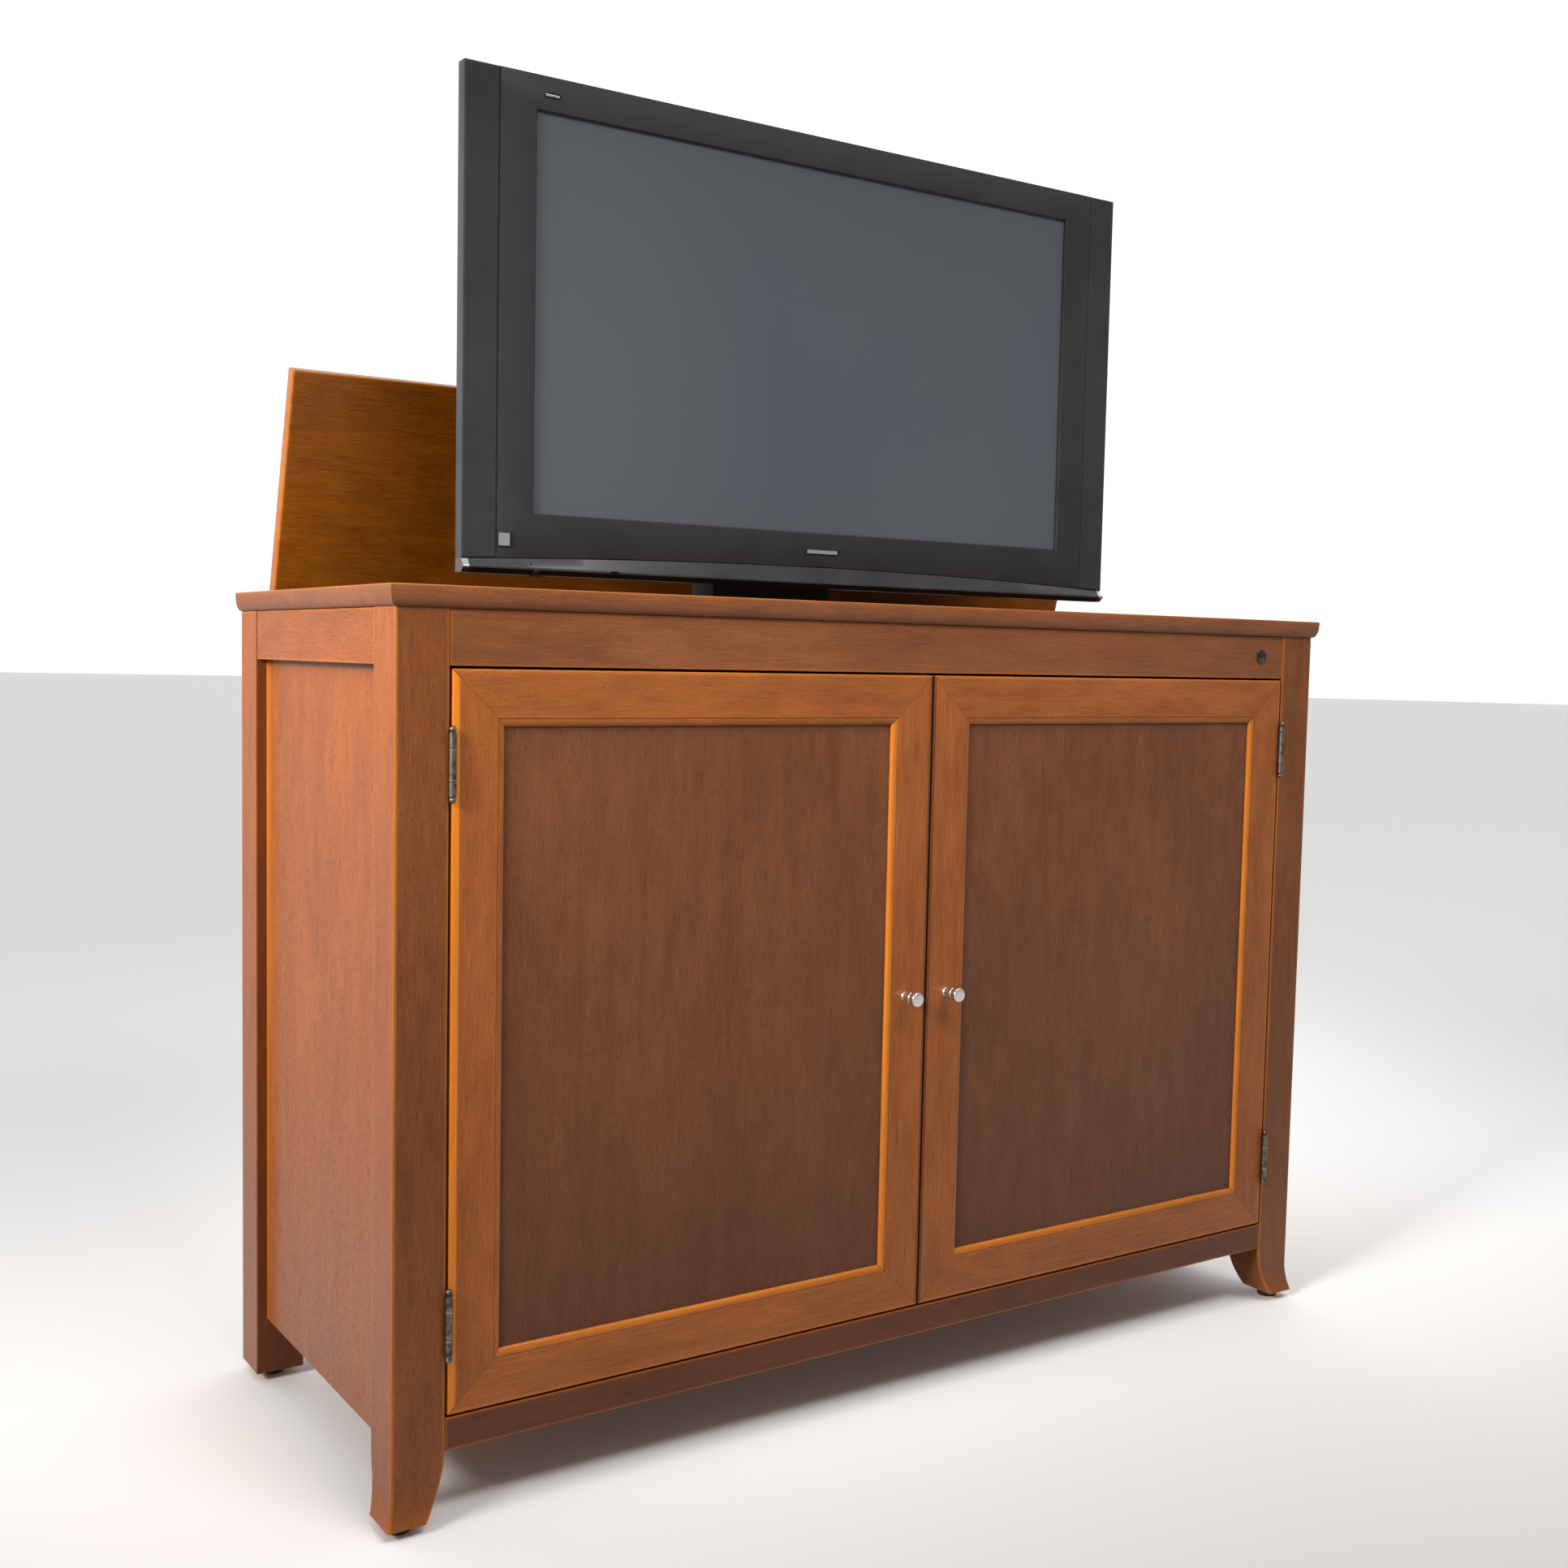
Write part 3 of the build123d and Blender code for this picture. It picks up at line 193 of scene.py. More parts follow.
# %% Light and floor
FLOOR_RADIUS = 60.0
FLOOR_SIDES = 96
FLOOR_COLOUR = (0.86, 0.855, 0.85, 1)
FLOOR_ROUGHNESS = 0.8
BRIGHT_WAY = (0.35, 0.52, 0.78)
ROOM_TURNS = (0.2, 0.6)
DIM_ROOM = 0.20
BRIGHT_ROOM = 1.1


def soft_lamp(name, place_of, target, size, power, colour, spread):
    """A rectangular area lamp of size (wide, high) that faces target, its beam held to spread."""
    lamp = bpy.data.objects.new(name, bpy.data.lights.new(name, "AREA"))
    bpy.context.scene.collection.objects.link(lamp)
    lamp.data.shape = "RECTANGLE"
    lamp.data.size, lamp.data.size_y = size
    lamp.data.energy = power
    lamp.data.color = colour
    lamp.data.spread = radians(spread)
    lamp.location = place_of
    lamp.rotation_euler = (Vector(target) - Vector(place_of)).to_track_quat("-Z", "Y").to_euler()


def light_room():
    """World strength follows the direction looked in: a ramp of its dot product with BRIGHT_WAY."""
    world = bpy.data.worlds.new("studio_room")
    bpy.context.scene.world = world
    world.use_nodes = True
    tree = world.node_tree
    way = place(tree, "TexCoord").outputs["Generated"]
    facing = place(tree, "VectorMath", {0: way, 1: BRIGHT_WAY}, operation="DOT_PRODUCT").outputs[1]
    strength = ramp(tree, facing, *ROOM_TURNS, DIM_ROOM, BRIGHT_ROOM)
    background = tree.nodes["Background"]
    background.inputs["Color"].default_value = (1.0, 1.0, 1.0, 1)
    tree.links.new(strength, background.inputs["Strength"])
    bpy.context.scene.view_settings.view_transform = "Standard"


def lay_floor():
    """A flat disc: x = r cos(a), y = r sin(a), just under the glides."""
    angle = np.linspace(0, 2 * pi, FLOOR_SIDES, endpoint=False)
    ring = np.stack([np.cos(angle), np.sin(angle), np.zeros(FLOOR_SIDES)], 1) * FLOOR_RADIUS
    mesh = bpy.data.meshes.new("floor")
    mesh.from_pydata(ring.tolist(), [], [list(range(FLOOR_SIDES))])
    floor = bpy.data.objects.new("floor", mesh)
    floor.location.z = cad_box[0][2]
    bpy.context.scene.collection.objects.link(floor)
    pale = bpy.data.materials.new("floor_pale")
    pale.use_nodes = True
    shader = pale.node_tree.nodes["Principled BSDF"]
    shader.inputs["Base Color"].default_value = FLOOR_COLOUR
    shader.inputs["Roughness"].default_value = FLOOR_ROUGHNESS
    mesh.materials.append(pale)


lay_floor()
light_room()
soft_lamp("left_lamp", (-2.85, -0.6, 2.1), (-0.757, 0, 1.15), (1.4, 1.0), 19, (1.0, 0.97, 0.93), 50)
soft_lamp("front_lamp", (0.8, -1.75, 2.95), (0.5, -0.3, 1.35), (3.6, 0.7), 13, (1.0, 0.98, 0.96), 46)

# %% [markdown]
# ## Stained wood
# Cherry-stained wood shows five things at once. Broad soft blotches come from uneven stain and finer
# mottling from uneven sanding. Bands about a centimetre wide come from the tree's growth, fine
# streaks run with the fibres, and short dark flecks are pores. Each is noise stretched along the
# grain by its own amount. The edge input above zero lightens edges to a warm orange: partly stain
# worn thin on edges, partly a painted highlight. Below zero it darkens: a dark line at mitre joints,
# and painted shade in recesses, creases, under the top and at panel borders.

# %% Wood group
WOOD_LAYERS = {  # stretch along the grain, scale, detail, distortion, weight in the colour
    "blotch": (0.4, 7.0, 5.0, 0.4, 1.7),
    "mottle": (0.3, 42.0, 3.0, 0.3, 1.3),
    "band": (0.05, 70.0, 4.0, 0.5, 0.7),
    "streak": (0.04, 620.0, 3.0, 0.0, 1.7),
}
FLECK_NOISE = ((1, 1, 0.09), 1500.0, 1.0)
FLECK_TURNS = (0.58, 0.72)
FLECK_DARKENS = 0.55
DEEP_STAIN_AND_SHADE = (0.45, 0.4, 0.35)
WEAR_AND_HIGHLIGHT_BANDS = (0.3, 0.6, 0.65, 1.0)
BUMP_SHARES = {"streak": 0.6, "fleck": 0.7}
ROUGH_SHARES = {"fleck": 0.15, "blotch": 0.10}


def make_wood_group():
    """Grain along Z of Board. Colour = blotch + mottle + band + streak - fleck, then edge tone."""
    group, start, end = new_group(
        "stained_wood",
        Board=None,
        Light=(0.4, 0.14, 0.05, 1),
        Dark=(0.2, 0.06, 0.02, 1),
        Rubbed=(0.6, 0.2, 0.03, 1),
        Edge=0.0,
        Contrast=1.0,
        Polish=0.35,
    )
    board = start.outputs["Board"]
    layers = {
        name: stretched_noise(group, board, (1, 1, stretch), scale, detail, distortion)
        for name, (stretch, scale, detail, distortion, _) in WOOD_LAYERS.items()
    }
    fleck = ramp(group, stretched_noise(group, board, *FLECK_NOISE), *FLECK_TURNS)
    centred = [
        maths(group, "MULTIPLY", maths(group, "SUBTRACT", layers[name], 0.5), weight)
        for name, (*_, weight) in WOOD_LAYERS.items()
    ]
    wide = maths(group, "ADD", centred[0], centred[1])
    total = maths(group, "ADD", wide, maths(group, "ADD", centred[2], centred[3]))
    strength = maths(group, "MULTIPLY", total, start.outputs["Contrast"])
    share = ramp(group, maths(group, "ADD", strength, 0.5), 0.0, 1.0)
    colour = blend(group, share, start.outputs["Dark"], start.outputs["Light"])
    # a deeper copy of the dark stain: for pores, joint lines and painted shade
    darker = {0: start.outputs["Dark"], 1: DEEP_STAIN_AND_SHADE}
    deep = place(group, "VectorMath", darker, operation="MULTIPLY").outputs[0]
    colour = blend(group, maths(group, "MULTIPLY", fleck, FLECK_DARKENS), colour, deep)
    edge = start.outputs["Edge"]
    # edge above zero: worn stain and a painted highlight, broken up by the grain's bands
    wear_and_highlight = maths(group, "MULTIPLY", ramp(group, edge, 0.0, 1.0), ramp(group, layers["band"], *WEAR_AND_HIGHLIGHT_BANDS))
    colour = blend(group, wear_and_highlight, colour, start.outputs["Rubbed"])
    # edge below zero: joint lines and painted shade
    colour = blend(group, ramp(group, edge, -1.0, 0.0, 1.0, 0.0), colour, deep)
    fleck_rough = maths(group, "MULTIPLY", fleck, ROUGH_SHARES["fleck"])
    rough = maths(group, "ADD", start.outputs["Polish"], fleck_rough)
    rough = maths(group, "ADD", rough, maths(group, "MULTIPLY", centred[0], ROUGH_SHARES["blotch"]))
    fibres = maths(group, "MULTIPLY", layers["streak"], BUMP_SHARES["streak"])
    height = maths(group, "SUBTRACT", fibres, maths(group, "MULTIPLY", fleck, BUMP_SHARES["fleck"]))
    send(group, end, Color=colour, Roughness=rough, Height=height)
    return group


WOOD = make_wood_group()

# %% [markdown]
# Each board gets its own material from this group: its grain runs the board's long way, and its
# coordinates are shifted by its own amount, so that no two boards share a figure.

# %% Wood finish for one board
# made more saturated by a painted warm reflection.
# post, sill and side are one cherry stain: the lighter side tone is painted light on the lit side,
# the darker post and sill tones painted shade on the front and low down. The lid tone is its stain
WOOD_TONES = {
    "frame": dict(light=(0.325, 0.096, 0.019), dark=(0.183, 0.048, 0.007), contrast=0.75, polish=0.36),
    "post": dict(light=(0.203, 0.060, 0.014), dark=(0.109, 0.029, 0.005), contrast=0.75, polish=0.36),
    "sill": dict(light=(0.115, 0.032, 0.007), dark=(0.064, 0.016, 0.003), contrast=0.7, polish=0.4),
    "rail": dict(light=(0.225, 0.074, 0.024), dark=(0.125, 0.038, 0.011), contrast=0.7, polish=0.36),
    "side": dict(light=(0.300, 0.083, 0.018), dark=(0.175, 0.045, 0.008), contrast=0.65, polish=0.38),
    "panel": dict(light=(0.182, 0.061, 0.022), dark=(0.098, 0.030, 0.009), contrast=0.65, polish=0.38),
    "lid": dict(light=(0.270, 0.080, 0.003), dark=(0.125, 0.031, 0.001), contrast=0.7, polish=0.32),
    "inner": dict(light=(0.300, 0.115, 0.045), dark=(0.190, 0.068, 0.026), contrast=0.6, polish=0.5),
}
# warm orange of lightened edges: worn stain and painted highlight
EDGE_WEAR_AND_HIGHLIGHT_COLOUR = (0.56, 0.165, 0.010, 1)
GRAIN_TURNS = {"X": (0, -pi / 2, 0), "Y": (pi / 2, 0, 0), "Z": (0, 0, 0)}
BOARD_SHIFT = 0.731
WOOD_BUMP = 0.0003
LACQUER = {"coat": 0.10, "coat_rough": 0.25, "shine": 0.22}
made_boards = []


def finish_material(
    name, group, settings, bump, coat=0.0, coat_rough=0.2, metallic=0.0, shine=0.5, vector=None
):
    """A Principled material whose colour, roughness and bump come from one shader group."""
    material = bpy.data.materials.new(name)
    material.use_nodes = True
    tree = material.node_tree
    shader = tree.nodes["Principled BSDF"]
    coordinates = place(tree, "TexCoord").outputs["Object"]
    if vector is not None:
        coordinates = place(tree, "Mapping", {"Vector": coordinates, **vector}).outputs[0]
    effect = tree.nodes.new("ShaderNodeGroup")
    effect.node_tree = group
    tree.links.new(coordinates, effect.inputs[0])
    for label, value in settings.items():
        if isinstance(value, str):
            attribute = place(tree, "Attribute", attribute_name=value)
            tree.links.new(attribute.outputs["Fac"], effect.inputs[label])
        else:
            effect.inputs[label].default_value = value
    relief = place(tree, "Bump", {"Height": effect.outputs["Height"], "Distance": bump})
    tree.links.new(effect.outputs["Color"], shader.inputs["Base Color"])
    tree.links.new(effect.outputs["Roughness"], shader.inputs["Roughness"])
    tree.links.new(relief.outputs[0], shader.inputs["Normal"])
    shader.inputs["Metallic"].default_value = metallic
    shader.inputs["Coat Weight"].default_value = coat
    shader.inputs["Coat Roughness"].default_value = coat_rough
    shader.inputs["Specular IOR Level"].default_value = shine
    return material


def wood(name, along, tone):
    """The finish of one board: grain along X, Y or Z, and one of the tones above."""
    made_boards.append(name)
    shift = BOARD_SHIFT * len(made_boards)
    look = WOOD_TONES[tone]
    settings = {
        "Light": (*look["light"], 1),
        "Dark": (*look["dark"], 1),
        "Rubbed": EDGE_WEAR_AND_HIGHLIGHT_COLOUR,
        "Edge": "edge_tone",
        "Contrast": look["contrast"],
        "Polish": look["polish"],
    }
    turn = {"Location": (shift, 1.7 * shift, 0.3 * shift), "Rotation": GRAIN_TURNS[along]}
    return finish_material("wood_" + name, WOOD, settings, WOOD_BUMP, vector=turn, **LACQUER)


# %% [markdown]
# ## Metal, moulded plastic and glass
# Brushed metal is fine noise stretched one way over a mottled tarnish. Moulded plastic is a fine
# leathery grain with faint patches of handling. Both are groups, since several parts use each with
# other colours.

# %% Metal and plastic groups
METAL_BUMP = 0.00006
PLASTIC_SHINE = 0.22
PLASTIC_COAT_ROUGH = 0.15


def make_metal_group():
    """Colour darkens with tarnish; fine lines along X lift the height and spread the roughness."""
    group, start, end = new_group(
        "brushed_metal",
        Place=None,
        Metal=(0.7, 0.7, 0.7, 1),
        Tarnish=(0.2, 0.18, 0.15, 1),
        Amount=0.2,
        Polish=0.3,
    )
    where = start.outputs["Place"]
    lines = stretched_noise(group, where, (0.04, 1, 1), 2600.0, 2.0)
    patches = stretched_noise(group, where, (1, 1, 1), 160.0, 4.0)
    dirt = maths(group, "MULTIPLY", ramp(group, patches, 0.38, 0.68), start.outputs["Amount"])
    colour = blend(group, dirt, start.outputs["Metal"], start.outputs["Tarnish"])
    rough = maths(group, "ADD", start.outputs["Polish"], maths(group, "MULTIPLY", lines, 0.12))
    rough = maths(group, "ADD", rough, maths(group, "MULTIPLY", dirt, 0.3))
    send(group, end, Color=colour, Roughness=rough, Height=lines)
    return group


def make_plastic_group():
    """Fine grain for height; colour and roughness drift a little over wide soft patches."""
    group, start, end = new_group(
        "moulded_grain",
        Place=None,
        Base=(0.05, 0.05, 0.05, 1),
        Drift=(0.08, 0.08, 0.08, 1),
        Grain=1800.0,
        Polish=0.4,
    )
    where = start.outputs["Place"]
    patches = stretched_noise(group, where, (1, 1, 1), 9.0, 3.0, 0.4)
    leather = {"Vector": where, "Scale": start.outputs["Grain"], "Detail": 2.0}
    grain = place(group, "TexNoise", leather).outputs[0]
    speck = ramp(group, grain, 0.35, 0.7, 0.0, 0.35)
    share = maths(group, "ADD", ramp(group, patches, 0.3, 0.7, 0.0, 0.65), speck)
    colour = blend(group, share, start.outputs["Base"], start.outputs["Drift"])
    rough = maths(group, "ADD", start.outputs["Polish"], ramp(group, patches, 0.3, 0.7, -0.04, 0.06))
    send(group, end, Color=colour, Roughness=rough, Height=grain)
    return group


METAL = make_metal_group()
PLASTIC = make_plastic_group()


def metal(name, colour, tarnish, amount, polish):
    """A brushed metal finish."""
    settings = {"Metal": (*colour, 1), "Tarnish": (*tarnish, 1), "Amount": amount, "Polish": polish}
    return finish_material(name, METAL, settings, METAL_BUMP, metallic=1.0)


def plastic(name, base, drift, grain, polish, bump, coat=0.0):
    """A moulded or sprayed finish."""
    settings = {"Base": (*base, 1), "Drift": (*drift, 1), "Grain": grain, "Polish": polish}
    return finish_material(name, PLASTIC, settings, bump, coat, PLASTIC_COAT_ROUGH, 0.0, PLASTIC_SHINE)


FINISH = {
    "hinge": metal("antique_hinge", (0.20, 0.175, 0.155), (0.035, 0.025, 0.018), 0.85, 0.30),
    "nickel": metal("satin_nickel", (0.80, 0.77, 0.73), (0.45, 0.40, 0.35), 0.18, 0.20),
    "zinc": metal("zinc_steel", (0.42, 0.42, 0.41), (0.24, 0.23, 0.21), 0.5, 0.38),
    "aluminium": metal("satin_aluminium", (0.62, 0.64, 0.66), (0.40, 0.41, 0.42), 0.25, 0.26),
    "bronze": metal("nut_bronze", (0.62, 0.42, 0.18), (0.30, 0.19, 0.08), 0.4, 0.36),
    "bezel": plastic(
        "charcoal_plastic", (0.015, 0.015, 0.016), (0.023, 0.023, 0.025), 2400.0, 0.47, 0.00003
    ),
    # paler grey for the set's sides: side trim with a painted highlight
    "bezel_side_trim_and_light": plastic(
        "charcoal_side_trim_and_light", (0.040, 0.044, 0.048), (0.055, 0.060, 0.066), 2400.0, 0.34, 0.00003
    ),
    "speaker": plastic(
        "speaker_cloth", (0.015, 0.015, 0.0165), (0.026, 0.026, 0.029), 3600.0, 0.55, 0.00008
    ),
    "trim": plastic("trim_gloss", (0.016, 0.016, 0.017), (0.026, 0.026, 0.028), 2600.0, 0.34, 0.00002, 0.2),
    "rear": plastic("black_plastic", (0.022, 0.022, 0.024), (0.036, 0.036, 0.038), 1500.0, 0.52, 0.00012),
    "steel": plastic("black_steel", (0.020, 0.020, 0.021), (0.034, 0.034, 0.036), 900.0, 0.42, 0.00010),
    "casting": plastic("motor_casting", (0.085, 0.087, 0.092), (0.12, 0.12, 0.13), 500.0, 0.45, 0.00018),
    "glide": plastic("black_glide", (0.014, 0.014, 0.014), (0.026, 0.025, 0.024), 1200.0, 0.55, 0.00008),
    "eye": plastic("eye_lens", (0.012, 0.008, 0.008), (0.020, 0.012, 0.012), 800.0, 0.12, 0.00001, 0.6),
    "display": plastic("display_glass", (0.05, 0.055, 0.06), (0.06, 0.065, 0.07), 1500.0, 0.3, 0.00002),
    "contact": metal("socket_contact", (0.70, 0.55, 0.28), (0.35, 0.25, 0.10), 0.3, 0.28),
}

# %% [markdown]
# The screen is plasma glass with a matte film. Switched off it is a slate blue-grey, lighter than
# its black bezel, because its phosphors are pale. A wide cloud of slightly lighter tone keeps it
# from looking like card.

# %% Screen finish
def make_screen_group():
    """Colour = slate mixed with a wide cloud; a very fine grid of noise is the film's sparkle."""
    group, start, end = new_group(
        "screen_film",
        Place=None,
        Slate=(0.1, 0.11, 0.13, 1),
        Cloud=(0.1, 0.1, 0.1, 1),
    )
    where = start.outputs["Place"]
    cloud = ramp(group, stretched_noise(group, where, (1, 1, 0.7), 1.6, 2.0, 0.5), 0.30, 0.70)
    film = stretched_noise(group, where, (1, 1, 1), 3000.0, 1.0)
    colour = blend(group, cloud, start.outputs["Slate"], start.outputs["Cloud"])
    rough = ramp(group, film, 0.2, 0.8, 0.40, 0.50)
    send(group, end, Color=colour, Roughness=rough, Height=film)
    return group


SLATE = {"Slate": (0.052, 0.058, 0.074, 1), "Cloud": (0.060, 0.071, 0.081, 1)}
FILM = {"bump": 0.00001, "coat": 0.1, "coat_rough": 0.3, "shine": 0.3}
FINISH["screen"] = finish_material("screen_glass", make_screen_group(), SLATE, **FILM)
print("finishes:", len(FINISH))

# %% [markdown]
# ## Making surfaces from arrays
# Every new piece is a closed surface on a grid of points: one direction runs round a section, the
# other runs along the piece. A workpiece collects such grids, merges what touches, points every
# face outwards and becomes one object.

# %% Workpiece
SMOOTH_ANGLE = radians(38)
MERGE_DISTANCE = 1e-6


def grid_quads(row, column, following, columns):
    """Corner numbers of the quads between each row and the next, each column and the following."""
    corners = [row + column, row + following, row + columns + following, row + columns + column]
    return np.stack(corners, -1).reshape(-1, 4)


class Workpiece:
    """Points, faces, edge tones and finish numbers of one piece, gathered grid by grid."""

    def __init__(self):
        self.points = []
        self.tones = []
        self.faces = []
        self.finish_numbers = []
        self.count = 0

    def add_points(self, points, tones):
        """Keep an array of points and their tones; return the number of the first."""
        start = self.count
        flat = np.asarray(points, float).reshape(-1, 3)
        self.points.append(flat)
        self.tones.append(np.broadcast_to(tones, np.shape(points)[:-1]).astype(float).reshape(-1))
        self.count += len(flat)
        return start

    def add_faces(self, faces, finish):
        """Keep faces, all with one finish number."""
        self.faces.extend(faces)
        self.finish_numbers.extend([finish] * len(faces))

    def tube(self, points, tones=0.0, finish=0, caps=True):
        """points[row, column]: each row is a closed loop, and the rows follow one another."""
        points = np.asarray(points, float)
        rows, columns = points.shape[:2]
        start = self.add_points(points, tones)
        row = np.arange(rows - 1)[:, None] * columns
        column = np.arange(columns)[None, :]
        quads = grid_quads(row, column, (column + 1) % columns, columns)
        self.add_faces((quads + start).tolist(), finish)
        if caps:
            last = start + (rows - 1) * columns
            ends = [list(range(first, first + columns)) for first in (start, last)]
            self.add_faces(ends, finish)

    def ring(self, points):
        """Like tube, but the last row joins the first, as round a picture frame."""
        points = np.asarray(points, float)
        closed = np.concatenate([points, points[:1]])
        self.tube(closed, caps=False)

    def between(self, front, back, tones=0.0):
        """A solid between two grids of one shape, with its borders stitched."""
        rows, columns = front.shape[:2]
        first = self.add_points(front, tones)
        second = self.add_points(back, 0.0)
        row = np.arange(rows - 1)[:, None] * columns
        column = np.arange(columns - 1)[None, :]
        quads = grid_quads(row, column, column + 1, columns)
        top = np.arange(columns)
        right = np.arange(1, rows) * columns + columns - 1
        bottom = (rows - 1) * columns + np.arange(columns - 2, -1, -1)
        left = np.arange(rows - 2, 0, -1) * columns
        border = np.concatenate([top, right, bottom, left])
        following = np.roll(border, -1)
        wall = np.stack([border + first, following + first, following + second, border + second], -1)
        self.add_faces(np.concatenate([quads + first, quads + second, wall]).tolist(), 0)

    def finish(self, name, body, slot, materials, replaced=(), smooth=SMOOTH_ANGLE):
        """Make the mesh, merge doubles, point faces outwards, and hang the piece on its body."""
        mesh = bpy.data.meshes.new(name)
        mesh.from_pydata(np.concatenate(self.points).tolist(), [], self.faces)
        mesh.polygons.foreach_set("material_index", np.array(self.finish_numbers, np.int32))
        attribute = mesh.attributes.new("edge_tone", "FLOAT", "POINT")
        attribute.data.foreach_set("value", np.concatenate(self.tones).astype(np.float32))
        working = bmesh.new()
        working.from_mesh(mesh)
        bmesh.ops.remove_doubles(working, verts=working.verts, dist=MERGE_DISTANCE)
        bmesh.ops.recalc_face_normals(working, faces=working.faces)
        working.to_mesh(mesh)
        working.free()
        mesh.polygons.foreach_set("use_smooth", np.ones(len(mesh.polygons), bool))
        mesh.set_sharp_from_angle(angle=smooth)
        for material in materials:
            mesh.materials.append(material)
        piece = bpy.data.objects.new(name, mesh)
        bpy.context.scene.collection.objects.link(piece)
        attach(piece, body)
        if replaced:
            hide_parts(*replaced)
        return piece


# %% [markdown]
# A board's section is a rectangle with small round corners, and a guard point sits on each flat
# just past each corner. The guard points keep the lighter tone of the corner, worn stain with a
# painted highlight, from spreading over the whole face, because a tone fades evenly from one point to
# the next.

# %% Section and board
EASE = 0.0013
GUARD = 0.0022
CORNER_STEPS = 4
MIDDLE_STATIONS = 2
LEAST_RADIUS = 1e-5
# how far eased edges lighten: worn stain and painted highlight
EDGE_WEAR_AND_HIGHLIGHT = 0.3


def eased_rectangle(half_a, half_b, radius, steps=CORNER_STEPS, guard=GUARD):
    """A loop of (a, b): four quarter circles joined by flats. Returns the loop and its corner mask."""
    turn = np.linspace(0, pi / 2, steps)
    loop, mask = [], []
    for quarter in range(4):
        angle = turn + quarter * pi / 2
        side_a = 1 if quarter in (0, 3) else -1
        side_b = 1 if quarter in (0, 1) else -1
        centre = np.array([side_a * (half_a - radius), side_b * (half_b - radius)])
        curve = centre + radius * np.stack([np.cos(angle), np.sin(angle)], 1)
        before = curve[0] + guard * np.array([np.sin(angle[0]), -np.cos(angle[0])])
        after = curve[-1] + guard * np.array([-np.sin(angle[-1]), np.cos(angle[-1])])
        loop += [before, *curve, after]
        mask += [0.0, *np.ones(steps), 0.0]
    return np.array(loop), np.array(mask)


def end_stations(length, ease):
    """Places along a board, and how far its section shrinks there: a quarter circle at each end."""
    angle = np.linspace(0, pi / 2, CORNER_STEPS)
    guard = ease + GUARD
    places = np.append(ease * (1 - np.sin(angle))[::-1], guard)
    shrinks = np.append(ease * (1 - np.cos(angle))[::-1], 0.0)
    rounded_end = np.append(np.ones(CORNER_STEPS), 0.0)
    inner = np.linspace(guard, length - guard, MIDDLE_STATIONS + 2)[1:-1]
    plain = np.zeros(MIDDLE_STATIONS)
    stations = np.concatenate([places, inner, length - places[::-1]])
    insets = np.concatenate([shrinks, plain, shrinks[::-1]])
    tones = np.concatenate([rounded_end, plain, rounded_end[::-1]])
    return stations, insets, tones


def add_board(piece, low, high, along, ease=EASE, wear_and_highlight=EDGE_WEAR_AND_HIGHLIGHT):
    """A board with round edges between two corners; along is 0, 1 or 2 for its length's axis."""
    low, high = np.asarray(low, float), np.asarray(high, float)
    across = [axis for axis in range(3) if axis != along]
    half = (high - low) / 2
    centre = (high + low) / 2
    stations, insets, end_tones = end_stations(high[along] - low[along], ease)
    rows, tones = [], []
    for station, inset, end_tone in zip(stations, insets, end_tones):
        half_a, half_b = half[across] - inset
        loop, mask = eased_rectangle(half_a, half_b, max(ease - inset, LEAST_RADIUS))
        points = np.zeros((len(loop), 3))
        points[:, across] = centre[across] + loop
        points[:, along] = low[along] + station
        rows.append(points)
        tones.append(wear_and_highlight * np.maximum(mask, end_tone))
    piece.tube(np.array(rows), np.array(tones))


def turned(piece, profile, origin, axis, sides=40, finish=0):
    """A lathe: profile is (radius, distance along axis), turned about axis through origin."""
    profile = np.asarray(profile, float)
    axis = Vector(axis).normalized()
    across = axis.orthogonal().normalized()
    third = axis.cross(across)
    angle = np.linspace(0, 2 * pi, sides, endpoint=False)
    circle = np.outer(np.cos(angle), across) + np.outer(np.sin(angle), third)
    points = (
        np.asarray(origin)
        + profile[:, 0][:, None, None] * circle[None]
        + profile[:, 1][:, None, None] * np.asarray(axis)
    )
    piece.tube(points, 0.0, finish, caps=bool(profile[0, 0] > 0 or profile[-1, 0] > 0))


def arc(centre, radius, start, stop, steps=8):
    """Points (a, b) on a circle from one angle to another, in degrees."""
    angle = np.radians(np.linspace(start, stop, steps))
    return np.stack([centre[0] + radius * np.cos(angle), centre[1] + radius * np.sin(angle)], 1)


# %% [markdown]
# ## Rails, rear legs and boards
# The plain members are straight boards. Each follows its node's own corners, so it can't drift from
# the frame, and its grain runs its long way. Where a board shows a joint with its neighbour, the
# eased edges of both make the fine shadow line of real joinery.

# %% Plain members
AXES = {"X": 0, "Y": 1, "Z": 2}
# painted shade on the back legs' faces inside the side recess
RECESS_PAINTED_SHADE = -0.7
PLAIN_MEMBERS = {
    "back_left_leg": ("Z", "side"),
    "back_right_leg": ("Z", "side"),
    "left_side_rail": ("Y", "side"),
    "right_side_rail": ("Y", "side"),
    "front_top_rail": ("X", "rail"),
    "front_bottom_rail": ("X", "sill"),
    "back_top_rail": ("X", "rail"),
}


def make_plain_members():
    """One eased board for each plain member. The back legs' faces inside the side recess get painted shade.
    """
    for node, (along, tone) in PLAIN_MEMBERS.items():
        low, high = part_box(node)
        piece = Workpiece()
        add_board(piece, low, high, AXES[along])
        if along == "Z":
            piece.tones[0][piece.points[0][:, 1] < low.y + EASE] = RECESS_PAINTED_SHADE
        piece.finish(node + "_board", "cabinet", "stained_cherry", [wood(node, along, tone)], (node,))


make_plain_members()

